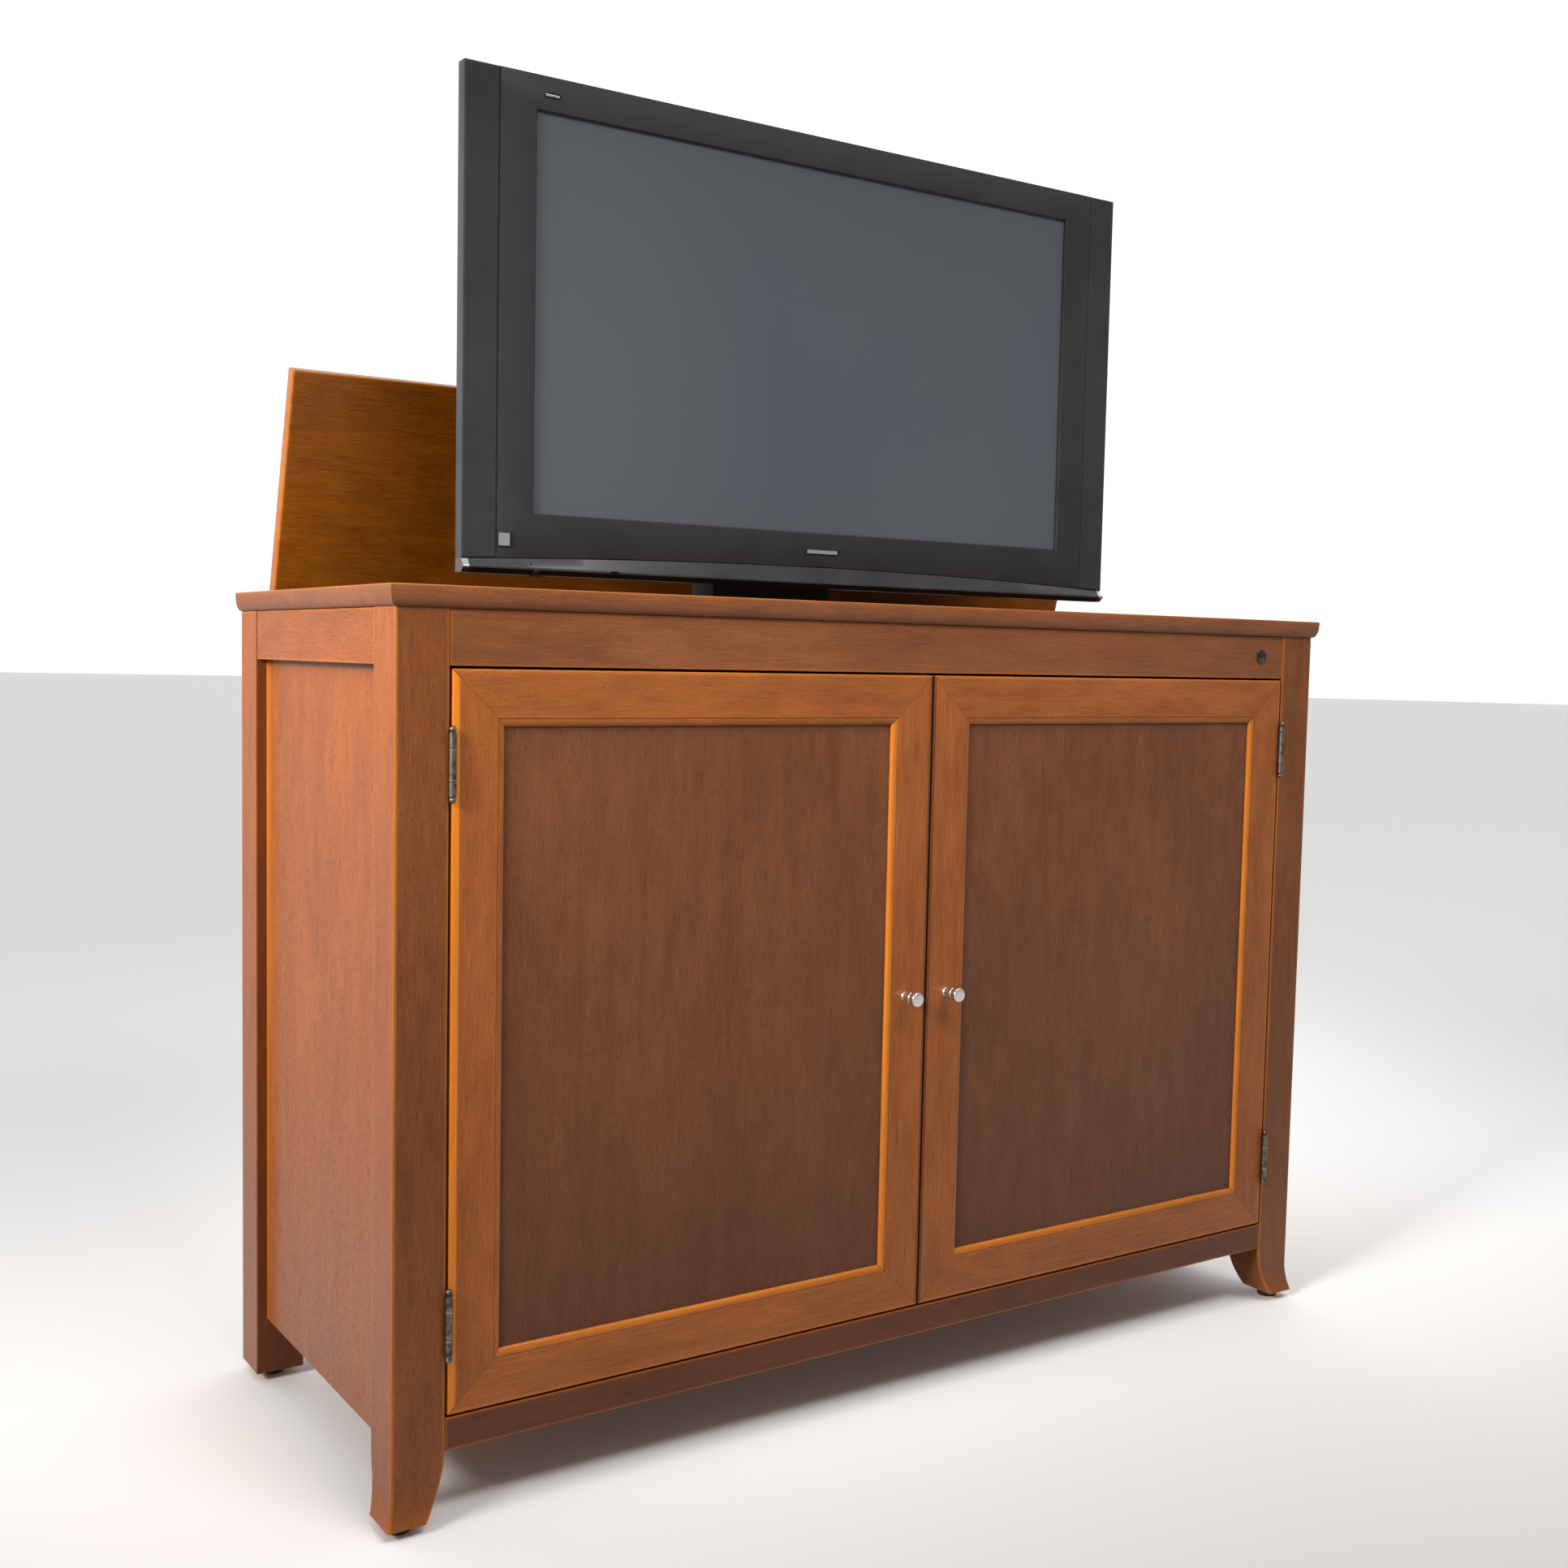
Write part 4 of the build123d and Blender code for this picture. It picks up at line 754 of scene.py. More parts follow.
# %% [markdown]
# ## Sabre legs
# A front leg is one tall post. Below the skirt its inner faces taper, and its two outer faces kick
# out in a short curve that ends in a small square toe. The section stays a rectangle, and each of
# its four sides moves along its own curve of height. The outer side has the lighter side tone and
# the front the darker post tone, one stain in a lit and a shaded copy: painted light on the side,
# painted shade on the front. So the outer side has a finish of its own.

# %% Front legs
FLARE_START = 0.058
TAPER_START = 0.092
FOOT_WIDTH = 0.048
FOOT_DEPTH = 0.058
LEG_EASE = 0.0022
LEG_ROWS = 40
ROW_CROWDING = 1.2
STRAIGHT_LENGTH = 0.4
SOLE_RISE = 0.0006
SOLE_EASE = 0.0008
TOE_LIGHTENING = 0.25
OUTER_COLUMNS = (21, 22, 23, 0, 1)


def make_front_leg(side, sign):
    """Sides at height z: outer = face + flare * t^2, inner = post + shift * s^2, eased corners."""
    low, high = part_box(f"front_{side}_leg")
    post_low, post_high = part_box(f"back_{side}_leg")
    outer = max(abs(post_low.x), abs(post_high.x))
    inner = min(abs(post_low.x), abs(post_high.x))
    toe = max(abs(low.x), abs(high.x))
    front_face = low.y + (toe - outer)
    back_face = high.y
    floor_z = low.z
    curved = floor_z + (TAPER_START - floor_z) * np.linspace(0, 1, LEG_ROWS) ** ROW_CROWDING
    sole, straight = [floor_z, floor_z + SOLE_RISE], [high.z - STRAIGHT_LENGTH, high.z]
    heights = np.concatenate([sole, curved[1:], straight])
    rows, tones = [], []
    for number, z in enumerate(heights):
        kick = max(0.0, (FLARE_START - z) / (FLARE_START - floor_z)) ** 2
        taper = max(0.0, (TAPER_START - z) / (TAPER_START - floor_z)) ** 2
        ends_x = (inner + (toe - FOOT_WIDTH - inner) * taper, outer + (toe - outer) * kick)
        ends_y = (front_face - (toe - outer) * kick, back_face + (low.y + FOOT_DEPTH - back_face) * taper)
        shrink = SOLE_EASE if number == 0 else 0.0
        half_x = (ends_x[1] - ends_x[0]) / 2 - shrink
        half_y = (ends_y[1] - ends_y[0]) / 2 - shrink
        loop, mask = eased_rectangle(half_x, half_y, LEG_EASE)
        points = np.zeros((len(loop), 3))
        points[:, 0] = sign * (loop[:, 0] + sum(ends_x) / 2)
        points[:, 1] = loop[:, 1] + sum(ends_y) / 2
        points[:, 2] = z
        rows.append(points)
        # eased corners lighten with worn stain and a painted highlight; the toe lightens as it kicks out
        tones.append(EDGE_WEAR_AND_HIGHLIGHT * mask + TOE_LIGHTENING * kick)
    piece = Workpiece()
    piece.tube(np.array(rows), np.array(tones))
    columns = len(rows[0])
    outer_wall = np.isin(np.arange(columns), OUTER_COLUMNS).astype(int)
    piece.finish_numbers = [*np.tile(outer_wall, len(rows) - 1).tolist(), 0, 0]
    name = f"front_{side}_leg"
    # front and inner faces in the darker post tone, outer faces in the lighter side tone: painted shade and
    # painted light
    finishes = [wood(name, "Z", "post"), wood(name + "_outer", "Z", "side")]
    piece.finish(name + "_sabre", "cabinet", "stained_cherry", finishes, (name,))


SIDES = (("left", -1), ("right", 1))
for leg_side, leg_sign in SIDES:
    make_front_leg(leg_side, leg_sign)

# %% [markdown]
# The glides are nylon discs with a soft edge, turned on the lathe helper. They carry the weight, so
# their lowest point is the floor.

# %% Glides
GLIDE_EDGE = 0.0025
GLIDE_CHAMFER = 0.001


def make_glides():
    """A disc profile with round edges, turned about Z under each leg."""
    piece = Workpiece()
    low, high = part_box("leg_glides")
    leg_low, leg_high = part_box("back_left_leg")
    back_x = (leg_low.x + leg_high.x) / 2
    back_y = (leg_low.y + leg_high.y) / 2
    size = high.y - back_y
    height = high.z - low.z
    front_x, front_y = low.x + size, low.y + size
    profile = np.concatenate([
        [[0, 0]],
        arc((size - GLIDE_EDGE, GLIDE_EDGE), GLIDE_EDGE, -90, 0, 6),
        [[size, height - GLIDE_CHAMFER], [size - GLIDE_CHAMFER, height], [0, height]],
    ])
    for x, y in ((front_x, front_y), (back_x, back_y)):
        for sign in (1, -1):
            turned(piece, profile, (sign * x, y, low.z), (0, 0, 1), 36)
    piece.finish("glides", "cabinet", "black_glide", [FINISH["glide"]], ("leg_glides",))


make_glides()

# %% [markdown]
# ## The moulded top
# The top is a U in plan: a wide front strip and two arms, round the opening that the lid covers. Its
# three outer edges carry one moulding: a narrow upright band, then a quarter round that tucks back
# under to the face of the posts. Every height of the profile is the same loop of eight corners,
# where the outer corners move in by the profile's setback and the corners at the opening stay.

# %% Top slab
MOULD_BAND = 0.0070
MOULD_STEPS = 9
# painted shade under the overhang: darkest on the underside, fading up the quarter round
MOULD_PAINTED_SHADE = 0.55
UNDERSIDE_PAINTED_SHADE = -0.6
BAND_WEAR_AND_HIGHLIGHT = 0.1
TOP_EASE = 0.0012
MOULD_SETBACK = 0.001
LID_GAP = 0.0025
DIVIDER_GAP = 0.003


def make_top():
    """Loops (setback, height): underside, quarter ellipse out, band, eased top edge."""
    low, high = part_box("top_slab")
    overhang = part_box("front_top_rail")[0].y - low.y - MOULD_SETBACK
    opening_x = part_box("lid_board")[1].x + LID_GAP
    opening_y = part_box("well_divider")[1].y + DIVIDER_GAP
    turn = np.linspace(0, pi / 2, MOULD_STEPS)
    outwards = np.sin(turn)
    rise = high.z - low.z - MOULD_BAND
    # painted shade on the underside and the lower quarter round
    levels = [(overhang * 2.0, 0.0, low.z, 0.0), (overhang + 0.0004, 0.0, low.z, UNDERSIDE_PAINTED_SHADE)]
    levels += [
        (overhang * (1 - step) + 0.0002, 0.0, z, MOULD_PAINTED_SHADE * step - MOULD_PAINTED_SHADE)
        for step, z in zip(outwards, low.z + rise * (1 - np.cos(turn)))
    ]
    # the band and the eased top edge lighten: worn stain and a painted highlight
    levels += [(0.0, 0.0, high.z - TOP_EASE - 0.001, BAND_WEAR_AND_HIGHLIGHT), (0.0, 0.0, high.z - TOP_EASE, EDGE_WEAR_AND_HIGHLIGHT)]
    part = TOP_EASE * 0.3
    levels += [(part, part, high.z - part, EDGE_WEAR_AND_HIGHLIGHT), (TOP_EASE, TOP_EASE, high.z, EDGE_WEAR_AND_HIGHLIGHT)]
    levels += [(TOP_EASE + GUARD, TOP_EASE + GUARD, high.z, 0.0)]
    rows, tones = [], []
    for outside, inside, z, tone in levels:
        left, right, face = low.x + outside, high.x - outside, low.y + outside
        rear = high.y - inside
        mouth_x, mouth_y = opening_x + inside, opening_y - inside
        rows.append([
            (left, rear, z), (left, face, z), (right, face, z), (right, rear, z),
            (mouth_x, rear, z), (mouth_x, mouth_y, z), (-mouth_x, mouth_y, z), (-mouth_x, rear, z),
        ])
        tones.append([tone] * 8)
    piece = Workpiece()
    piece.tube(np.array(rows), np.array(tones), caps=False)
    last = (len(levels) - 1) * 8
    for start in (0, last):
        corners = ([0, 1, 6, 7], [1, 2, 5, 6], [2, 3, 4, 5])
        piece.add_faces([[start + corner for corner in quad] for quad in corners], 0)
    piece.finish("moulded_top", "cabinet", "stained_cherry", [wood("top", "X", "rail")], ("top_slab",))


make_top()

# %% [markdown]
# ## The lid
# The lid leans forward on the lift's bar. It is a flat board, so it is easiest to make in its own
# directions, along the lid from its hinge and out through its face, and then set in place by two
# unit vectors. Its lean is the angle whose length and thickness fill the node's box exactly:
# height = L sin + T cos and depth = L cos + T sin.

# %% Lid
LID_THICK = 0.022
LID_LEANS = (60, 88)
LID_TRIES = 20001
LID_EASE = 0.0016


def make_lid():
    """Board in lid coordinates (x, along, out), carried to p = foot + along * a + out * b."""
    low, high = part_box("lid_board")
    height, depth = high.z - low.z, high.y - low.y
    leans = np.radians(np.linspace(*LID_LEANS, LID_TRIES))
    lengths = (height - LID_THICK * np.cos(leans)) / np.sin(leans)
    misfit = np.abs(lengths * np.cos(leans) + LID_THICK * np.sin(leans) - depth)
    best = np.argmin(misfit)
    lean, length = leans[best], lengths[best]
    along = np.array([0, -np.cos(lean), np.sin(lean)])
    out = np.array([0, np.sin(lean), np.cos(lean)])
    foot = np.array([0, high.y - out[1] * LID_THICK, low.z])
    piece = Workpiece()
    add_board(piece, (low.x, 0, 0), (high.x, length, LID_THICK), 0, LID_EASE)
    piece.points[0] = foot + piece.points[0] @ np.stack([(1, 0, 0), along, out])
    piece.finish("lid_panel", "lid", "stained_cherry", [wood("lid", "X", "lid")], ("lid_board",))


make_lid()

# %% [markdown]
# ## Panelled doors
# A door is four mitred members round a flat veneered panel. The section is a flat face, a thin quirk
# and a quarter-round bead that falls to the panel. Carrying that section along each side gives all
# four members: a point that is s inwards from the door's edge stops s short of the corner, and that
# alone makes the mitre.

# %% Door frames
FRAME_FLAT = 0.056
BEAD_DEPTH = 0.0052
QUIRK = 0.0008
MITRE_SEAM = 0.0012
MITRE_GAP = 0.00004
SEAM_STAIN = -0.55
DOOR_EASE = 0.0014
FLAT_END = 0.0003


def door_section(width, thick, bead_highlight, edge_wear_light_and_shade):
    """(inwards, backwards, tone) round the member: eased edge, flat, quirk, quarter-round bead."""
    t = np.linspace(0, pi / 2, 8)
    corner = arc((DOOR_EASE, DOOR_EASE), DOOR_EASE, 180, 270, 4)
    bead_width = width - FRAME_FLAT - QUIRK
    bead = np.stack([FRAME_FLAT + QUIRK + bead_width * np.sin(t), QUIRK + BEAD_DEPTH * (1 - np.cos(t))], 1)
    strip = DOOR_EASE + GUARD * (3 if edge_wear_light_and_shade > EDGE_WEAR_AND_HIGHLIGHT else 0.5)
    flat = [(strip, 0), (strip + GUARD, 0), (FRAME_FLAT - GUARD, 0), (FRAME_FLAT - FLAT_END, 0)]
    outside = [(0, thick), (0, DOOR_EASE + GUARD), *corner]
    points = [*outside, *flat, (FRAME_FLAT, QUIRK), *bead, (width, thick)]
    # painted highlight rising along the bead, painted shade at its foot by the panel
    bead_tones = [*(bead_highlight * np.linspace(0.3, 1.0, 5)), bead_highlight, 0.6 * bead_highlight, -0.7]
    # painted shade in the quirk; the outer edge takes the edge value
    tones = [0, *[edge_wear_light_and_shade] * 6, 0, 0, 0.2, -1.0, *bead_tones, 0]
    return np.array(points, float), np.array(tones, float)


def make_door_member(name, body, middle, inward, length, width, thick, along, bead_highlight, edge_wear_light_and_shade):
    """Rows are stations t from -1 to 1 along the member; a point s inwards lies at t * (half - s)."""
    section, tones = door_section(width, thick, bead_highlight, edge_wear_light_and_shade)
    half = length / 2
    seam = MITRE_SEAM / half
    stations = np.array([-1, -1 + seam, -0.5, 0, 0.5, 1 - seam, 1])
    inward = np.asarray(inward, float)
    run = np.array([0.0, 0.0, 1.0]) if abs(inward[0]) > 0.5 else np.array([1.0, 0.0, 0.0])
    reach = (half - section[:, 0] - MITRE_GAP)[None, :, None]
    points = (
        np.asarray(middle, float)
        + section[:, 0][None, :, None] * inward
        + section[:, 1][None, :, None] * np.array([0, 1.0, 0])
        + stations[:, None, None] * reach * run
    )
    seam_tone = np.where(np.abs(stations) > 1 - seam / 2, SEAM_STAIN, 0.0)[:, None]
    piece = Workpiece()
    piece.tube(points, np.where(seam_tone < 0, seam_tone, tones[None, :]))
    piece.finish(name + "_moulded", body, "stained_cherry", [wood(name, along, "frame")], (name,))


def make_door(side, sign):
    """Four members round the corners of the door's own nodes."""
    body = f"{side}_door"
    hinge_low, hinge_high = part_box(f"{side}_door_hinge_stile")
    meet_low, meet_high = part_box(f"{side}_door_meeting_stile")
    width = hinge_high.x - hinge_low.x
    thick = hinge_high.y - hinge_low.y
    face = hinge_low.y
    left = min(hinge_low.x, meet_low.x)
    right = max(hinge_high.x, meet_high.x)
    middle_x, middle_z = (left + right) / 2, (hinge_low.z + hinge_high.z) / 2
    outer = left if sign < 0 else right
    inner = right if sign < 0 else left
    tall, wide = hinge_high.z - hinge_low.z, right - left
    members = {
        # last value: painted highlight on beads that face the light, to the left and upwards
        "hinge_stile": ((outer, face, middle_z), (-sign, 0, 0), tall, "Z", 0.15 if sign < 0 else 0.9),
        "meeting_stile": ((inner, face, middle_z), (sign, 0, 0), tall, "Z", 1.0 if sign < 0 else 0.15),
        "top_rail": ((middle_x, face, hinge_high.z), (0, 0, -1), wide, "X", 0.15),
        "bottom_rail": ((middle_x, face, hinge_low.z), (0, 0, 1), wide, "X", 0.8),
    }
    for name, (middle, inward, length, along, bead_highlight) in members.items():
        # painted highlight on the left door's hinge edge, painted shade on the meeting edges
        edge_wear_light_and_shade = {"hinge_stile": 1.0 if sign < 0 else EDGE_WEAR_AND_HIGHLIGHT, "meeting_stile": -0.8}.get(name, EDGE_WEAR_AND_HIGHLIGHT)
        sizes = (middle, inward, length, width, thick, along, bead_highlight, edge_wear_light_and_shade)
        make_door_member(f"{side}_door_{name}", body, *sizes)


for door_side, door_sign in SIDES:
    make_door(door_side, door_sign)

# %% [markdown]
# ## Veneered panels
# A panel is flat, yet it isn't even in tone. The darker tone under a rail and beside a stile is
# painted shadow, the warm strip along a side panel's rear edge is painted reflected light, and the
# door panels darken towards the bottom as painted shade. Each border of a panel adds a tone that
# dies away as exp(-d / width), with d the distance from the border that can be seen.

# %% Panels
PANEL_STATIONS = 56
# (tone, width) at the front or left border, the rear or right one, the bottom and the top
# painted shadow at rails and stiles, painted reflected light at the side panels' rear edge
SIDE_PANEL_BORDERS = ((-0.25, 0.003), (0.85, 0.016), (0.0, 1.0), (-0.75, 0.008))
DOOR_PANEL_BORDERS = ((-0.6, 0.004), (-0.35, 0.002), (-0.5, 0.22), (-0.7, 0.004))


def graded(start, stop):
    """Stations from start to stop, closer together at both ends: (1 - cos(pi t)) / 2."""
    return start + (stop - start) * (1 - np.cos(pi * np.linspace(0, 1, PANEL_STATIONS))) / 2


def make_panel(node, body, tone, slot, face, seen, borders):
    """A face grid with border tones and a back grid. face is (axis, front value, back value)."""
    low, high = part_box(node)
    axis, front_value, back_value = face
    across = 1 if axis == 0 else 0
    u, v = np.meshgrid(graded(low[across], high[across]), graded(low.z, high.z), indexing="ij")
    distances = (u - seen[0], seen[1] - u, v - seen[2], seen[3] - v)
    # painted shade and painted reflected light from each border
    tones = sum(
        tone_there * np.exp(-np.maximum(distance, 0) / width)
        for distance, (tone_there, width) in zip(distances, borders)
    )
    front = np.zeros((*u.shape, 3))
    front[..., across] = u
    front[..., 2] = v
    back = front.copy()
    front[..., axis] = front_value
    back[..., axis] = back_value
    piece = Workpiece()
    piece.between(front, back, np.clip(tones, -1, 1))
    piece.finish(node + "_veneer", body, slot, [wood(node, "Z", tone)], (node,))


def left_edge(box):
    """The lowest x of a box, to sort boxes from left to right."""
    return box[0].x


def make_panels():
    """Two side panels facing outwards and two door panels facing forwards."""
    for side, sign in SIDES:
        panel = f"{side}_side_panel"
        low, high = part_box(panel)
        front_leg, back_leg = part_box(f"front_{side}_leg"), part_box(f"back_{side}_leg")
        seen = (front_leg[1].y, back_leg[0].y, low.z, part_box(f"{side}_side_rail")[0].z)
        face = (0, low.x, high.x) if sign < 0 else (0, high.x, low.x)
        make_panel(panel, "cabinet", "side", "stained_cherry", face, seen, SIDE_PANEL_BORDERS)
        panel, body = f"{side}_door_panel", f"{side}_door"
        low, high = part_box(panel)
        stiles = sorted((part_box(f"{body}_{name}_stile") for name in ("hinge", "meeting")), key=left_edge)
        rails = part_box(f"{body}_bottom_rail"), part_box(f"{body}_top_rail")
        seen = (stiles[0][1].x, stiles[1][0].x, rails[0][1].z, rails[1][0].z)
        face = (1, low.y, high.y)
        make_panel(panel, body, "panel", "cherry_veneer", face, seen, DOOR_PANEL_BORDERS)


make_panels()

# %% [markdown]
# ## Knobs, hinges and the infrared eye
# These are turned parts, so each is a short profile on the lathe. The knob swells from a small foot
# to a groove, and its face is a flat disc with a soft rim. The hinge pins end in ball finials.

# %% Turned hardware
KNOB_RIM = 0.0014
KNOB_BELL = (0.0054, 0.0030, 0.0030, 0.0125)
KNOB_SWELL = 1.2
FINIAL = 0.004
FINIAL_CENTRE = 0.0042
PIN = 0.0019
KNUCKLE_JOINT = 0.01715
HINGE_HALF = 0.036
PIN_REACH = 0.017
COLLAR_HALF = 0.00015
COLLAR = 0.0047
LID_HINGES = (-0.56, 0.0, 0.56)
LID_BARREL = 0.005
LID_PIN_DROP = 0.004
LID_PIN_HALF = 0.046
LID_PIN_CHAMFER = 0.0005
EYE_STEM = (0.0078, 0.018)
EYE_DISH = 0.0007
EYE_RADII = (0.0075, 0.0060, 0.0045, 0.0025, 0)


def make_knob(side):
    """Radius against distance from the door: foot, bell that swells as sin, groove, rim, domed face."""
    low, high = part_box(f"{side}_door_knob")
    length, radius = high.y - low.y, (high.x - low.x) / 2
    centre = ((low.x + high.x) / 2, high.y, (low.z + high.z) / 2)
    narrow, swell, start, run = KNOB_BELL
    flare = np.linspace(0, 1, 8)
    bell = np.stack([narrow + swell * np.sin(flare * pi / 2) ** KNOB_SWELL, start + run * flare], 1)
    profile = np.concatenate([
        [[0, 0], [0.0062, 0], [0.0064, 0.0005], [0.0060, 0.0012], [0.0054, 0.0020]],
        bell,
        [[0.0082, 0.0172], [0.0074, 0.0180], [0.0073, 0.0187], [radius - 0.0006, 0.0194]],
        [[radius, 0.0204]],
        arc((radius - KNOB_RIM, length - KNOB_RIM - 0.0004), KNOB_RIM, 0, 80, 6),
        [[0.0055, length - 0.0001], [0, length]],
    ])
    piece = Workpiece()
    turned(piece, profile, centre, (0, -1, 0), 48)
    piece.finish(f"{side}_knob", f"{side}_door", "nickel", [FINISH["nickel"]], (f"{side}_door_knob",))


def make_hinge_pins():
    """Each door pin is a rod with ball ends and a thin washer at each knuckle joint."""
    piece = Workpiece()
    barrel_low, barrel_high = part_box("hinge_pins")
    finial = np.concatenate([
        [[0, -FINIAL], [PIN, -FINIAL], [PIN, -0.0001]],
        [[0.0034, 0.0002], [0.0034, 0.0007], [0.0016, 0.0011]],
        arc((0, FINIAL_CENTRE), FINIAL, -65, 90, 12),
    ])
    rod = [[0, -PIN_REACH], [PIN, -PIN_REACH], [PIN, PIN_REACH], [0, PIN_REACH]]
    washer = [[PIN, -COLLAR_HALF], [COLLAR, -COLLAR_HALF], [COLLAR, COLLAR_HALF], [PIN, COLLAR_HALF]]
    y = barrel_low.y + FINIAL
    for side, sign in SIDES:
        leaf_low, leaf_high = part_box(f"{side}_door_hinge_leaves")
        x = (barrel_low.x + FINIAL) if sign < 0 else (barrel_high.x - FINIAL)
        for z in (leaf_low.z + HINGE_HALF, leaf_high.z - HINGE_HALF):
            for end in (1, -1):
                turned(piece, finial, (x, y, z + end * HINGE_HALF), (0, 0, end), 28)
            turned(piece, rod, (x, y, z), (0, 0, 1), 20)
            for joint in (-KNUCKLE_JOINT, KNUCKLE_JOINT):
                turned(piece, washer, (x, y, z + joint), (0, 0, 1), 28, finish=1)
    tip, shank = LID_PIN_HALF, LID_PIN_HALF - LID_PIN_CHAMFER
    lid_rod = [[0, -tip], [PIN * 0.8, -tip], [PIN, -shank], [PIN, shank], [PIN * 0.8, tip], [0, tip]]
    lid_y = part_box("lid_hinge_fixed_leaves")[1].y - LID_BARREL
    lid_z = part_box("top_slab")[1].z - LID_PIN_DROP
    for x in LID_HINGES:
        turned(piece, lid_rod, (x, lid_y, lid_z), (1, 0, 0), 20)
    finishes = [FINISH["hinge"], FINISH["nickel"]]
    piece.finish("hinge_pin_set", "cabinet", "antique_hinge", finishes, ("hinge_pins",))


def make_eye():
    """A shallow glossy dome in a thin ring."""
    low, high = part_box("infrared_eye")
    radius = (high.x - low.x) / 2
    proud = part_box("front_top_rail")[0].y - low.y
    centre = ((low.x + high.x) / 2, low.y + proud, (low.z + high.z) / 2)
    stem, depth = EYE_STEM
    dish = radius - 0.0026
    dome = [[r, EYE_DISH + (proud - EYE_DISH) * np.cos(r / dish * pi / 2)] for r in EYE_RADII]
    profile = np.concatenate([
        [[0, -depth], [stem, -depth], [stem, 0], [radius - 0.0002, 0]],
        arc((radius - 0.0006, 0.0006), 0.0006, 0, 90, 4),
        [[radius - 0.0022, 0.0012], [dish, EYE_DISH]],
        dome,
    ])
    piece = Workpiece()
    turned(piece, profile, centre, (0, -1, 0), 40)
    piece.finish("eye_window", "cabinet", "eye_lens", [FINISH["eye"]], ("infrared_eye",))


for knob_side, _ in SIDES:
    make_knob(knob_side)
make_hinge_pins()
make_eye()

# %% [markdown]
# ## Television front
# The bezel is a picture frame. Its section is carried round rectangular loops, and the outer loops
# have an arched bottom edge, where z rises by arch * (1 - (x / half)^2). The section runs from the
# glass, out over a small chamfer that catches the light, across the face, over a soft edge and back.

# %% Bezel
ARCH = 0.013
LOOP_STEPS = 24
FACE_CHAMFER = 0.0016
FACE_EASE = 0.0009
SCREEN_MARGIN = 0.012
GLASS_GAP = 0.0001


def tv_sizes():
    """The television's own measures, read from the boxes of its nodes."""
    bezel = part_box("tv_front_bezel")
    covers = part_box("tv_speaker_covers")
    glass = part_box("tv_screen_glass")
    return dict(
        front=bezel[0].y, back=bezel[1].y, seam=bezel[1].x, half=covers[1].x, bottom=covers[0].z,
        top=covers[1].z, glass_front=glass[0].y, glass=(glass[1].x, glass[0].z, glass[1].z),
    )


TV = tv_sizes()


def arched(x):
    """How far the bottom edge has risen at x."""
    return ARCH * (1 - (x / TV["half"]) ** 2)


def grown(sizes, amount):
    """A rectangle (half width, low, high) with every side moved outwards."""
    half, low, high = sizes
    return half + amount, low - amount, high + amount


def frame_loop(sizes, y, arch):
    """A rectangle of points (x, y, z), anticlockwise from the bottom left, its bottom edge arched."""
    half, low, high = sizes
    t = np.linspace(0, 1, LOOP_STEPS, endpoint=False)
    upright = np.full(LOOP_STEPS, half)
    x = np.concatenate([-half + 2 * half * t, upright, half - 2 * half * t, -upright])
    z_low = low + (arched(x) if arch else 0 * x)
    up = np.concatenate([0 * t, t, 0 * t + 1, 1 - t])
    return np.stack([x, np.full(4 * LOOP_STEPS, y), z_low + (high - z_low) * up], 1)


def make_bezel():
    """Loops from the glass outwards and round the back to the glass again."""
    front, back, glass = TV["front"], TV["back"], TV["glass"]
    screen = grown(glass, -SCREEN_MARGIN)
    chamfered = grown(screen, FACE_CHAMFER)
    outer = (TV["seam"], TV["bottom"], TV["top"])
    part = FACE_EASE * 0.3
    straight = [
        (screen, TV["glass_front"] - GLASS_GAP),
        (screen, front + FACE_CHAMFER),
        (chamfered, front),
        (grown(chamfered, 0.001), front),
    ]
    curved = [
        (grown(outer, -FACE_EASE), front), (grown(outer, -part), front + part), (outer, front + FACE_EASE),
        (outer, back),
    ]
    loops = [frame_loop(*loop, False) for loop in straight]
    loops += [frame_loop(*loop, True) for loop in curved]
    loops += [frame_loop(glass, back, False), frame_loop(glass, TV["glass_front"] - GLASS_GAP, False)]
    piece = Workpiece()
    piece.ring(np.array(loops))
    finishes, replaced = [FINISH["bezel"]], ("tv_front_bezel",)
    piece.finish("screen_bezel", "tv_carriage", "charcoal_plastic", finishes, replaced, radians(25))


make_bezel()

# %% [markdown]
# The speaker covers stand either side of the bezel, full height. Their faces have fine upright ribs,
# which are real relief here: y = front + depth * (1 - cos(2 pi x / pitch)) / 2. Their outer walls
# are a paler grey, partly side trim and partly a painted highlight of the light on the sides.

# %% Speaker covers
RIB_PITCH = 0.0018
RIB_DEPTH = 0.00014
RIB_BORDER = 0.0045
COVER_EDGE = 0.0016
RIB_ENDS = (0.007, 0.993)
COVER_HEIGHTS = (0, 0.0008, 0.0025, 0.006, 0.008, 0.5, 0.992, 0.994, 0.9975, 0.9992, 1)
SEAM_GAP = 0.0003


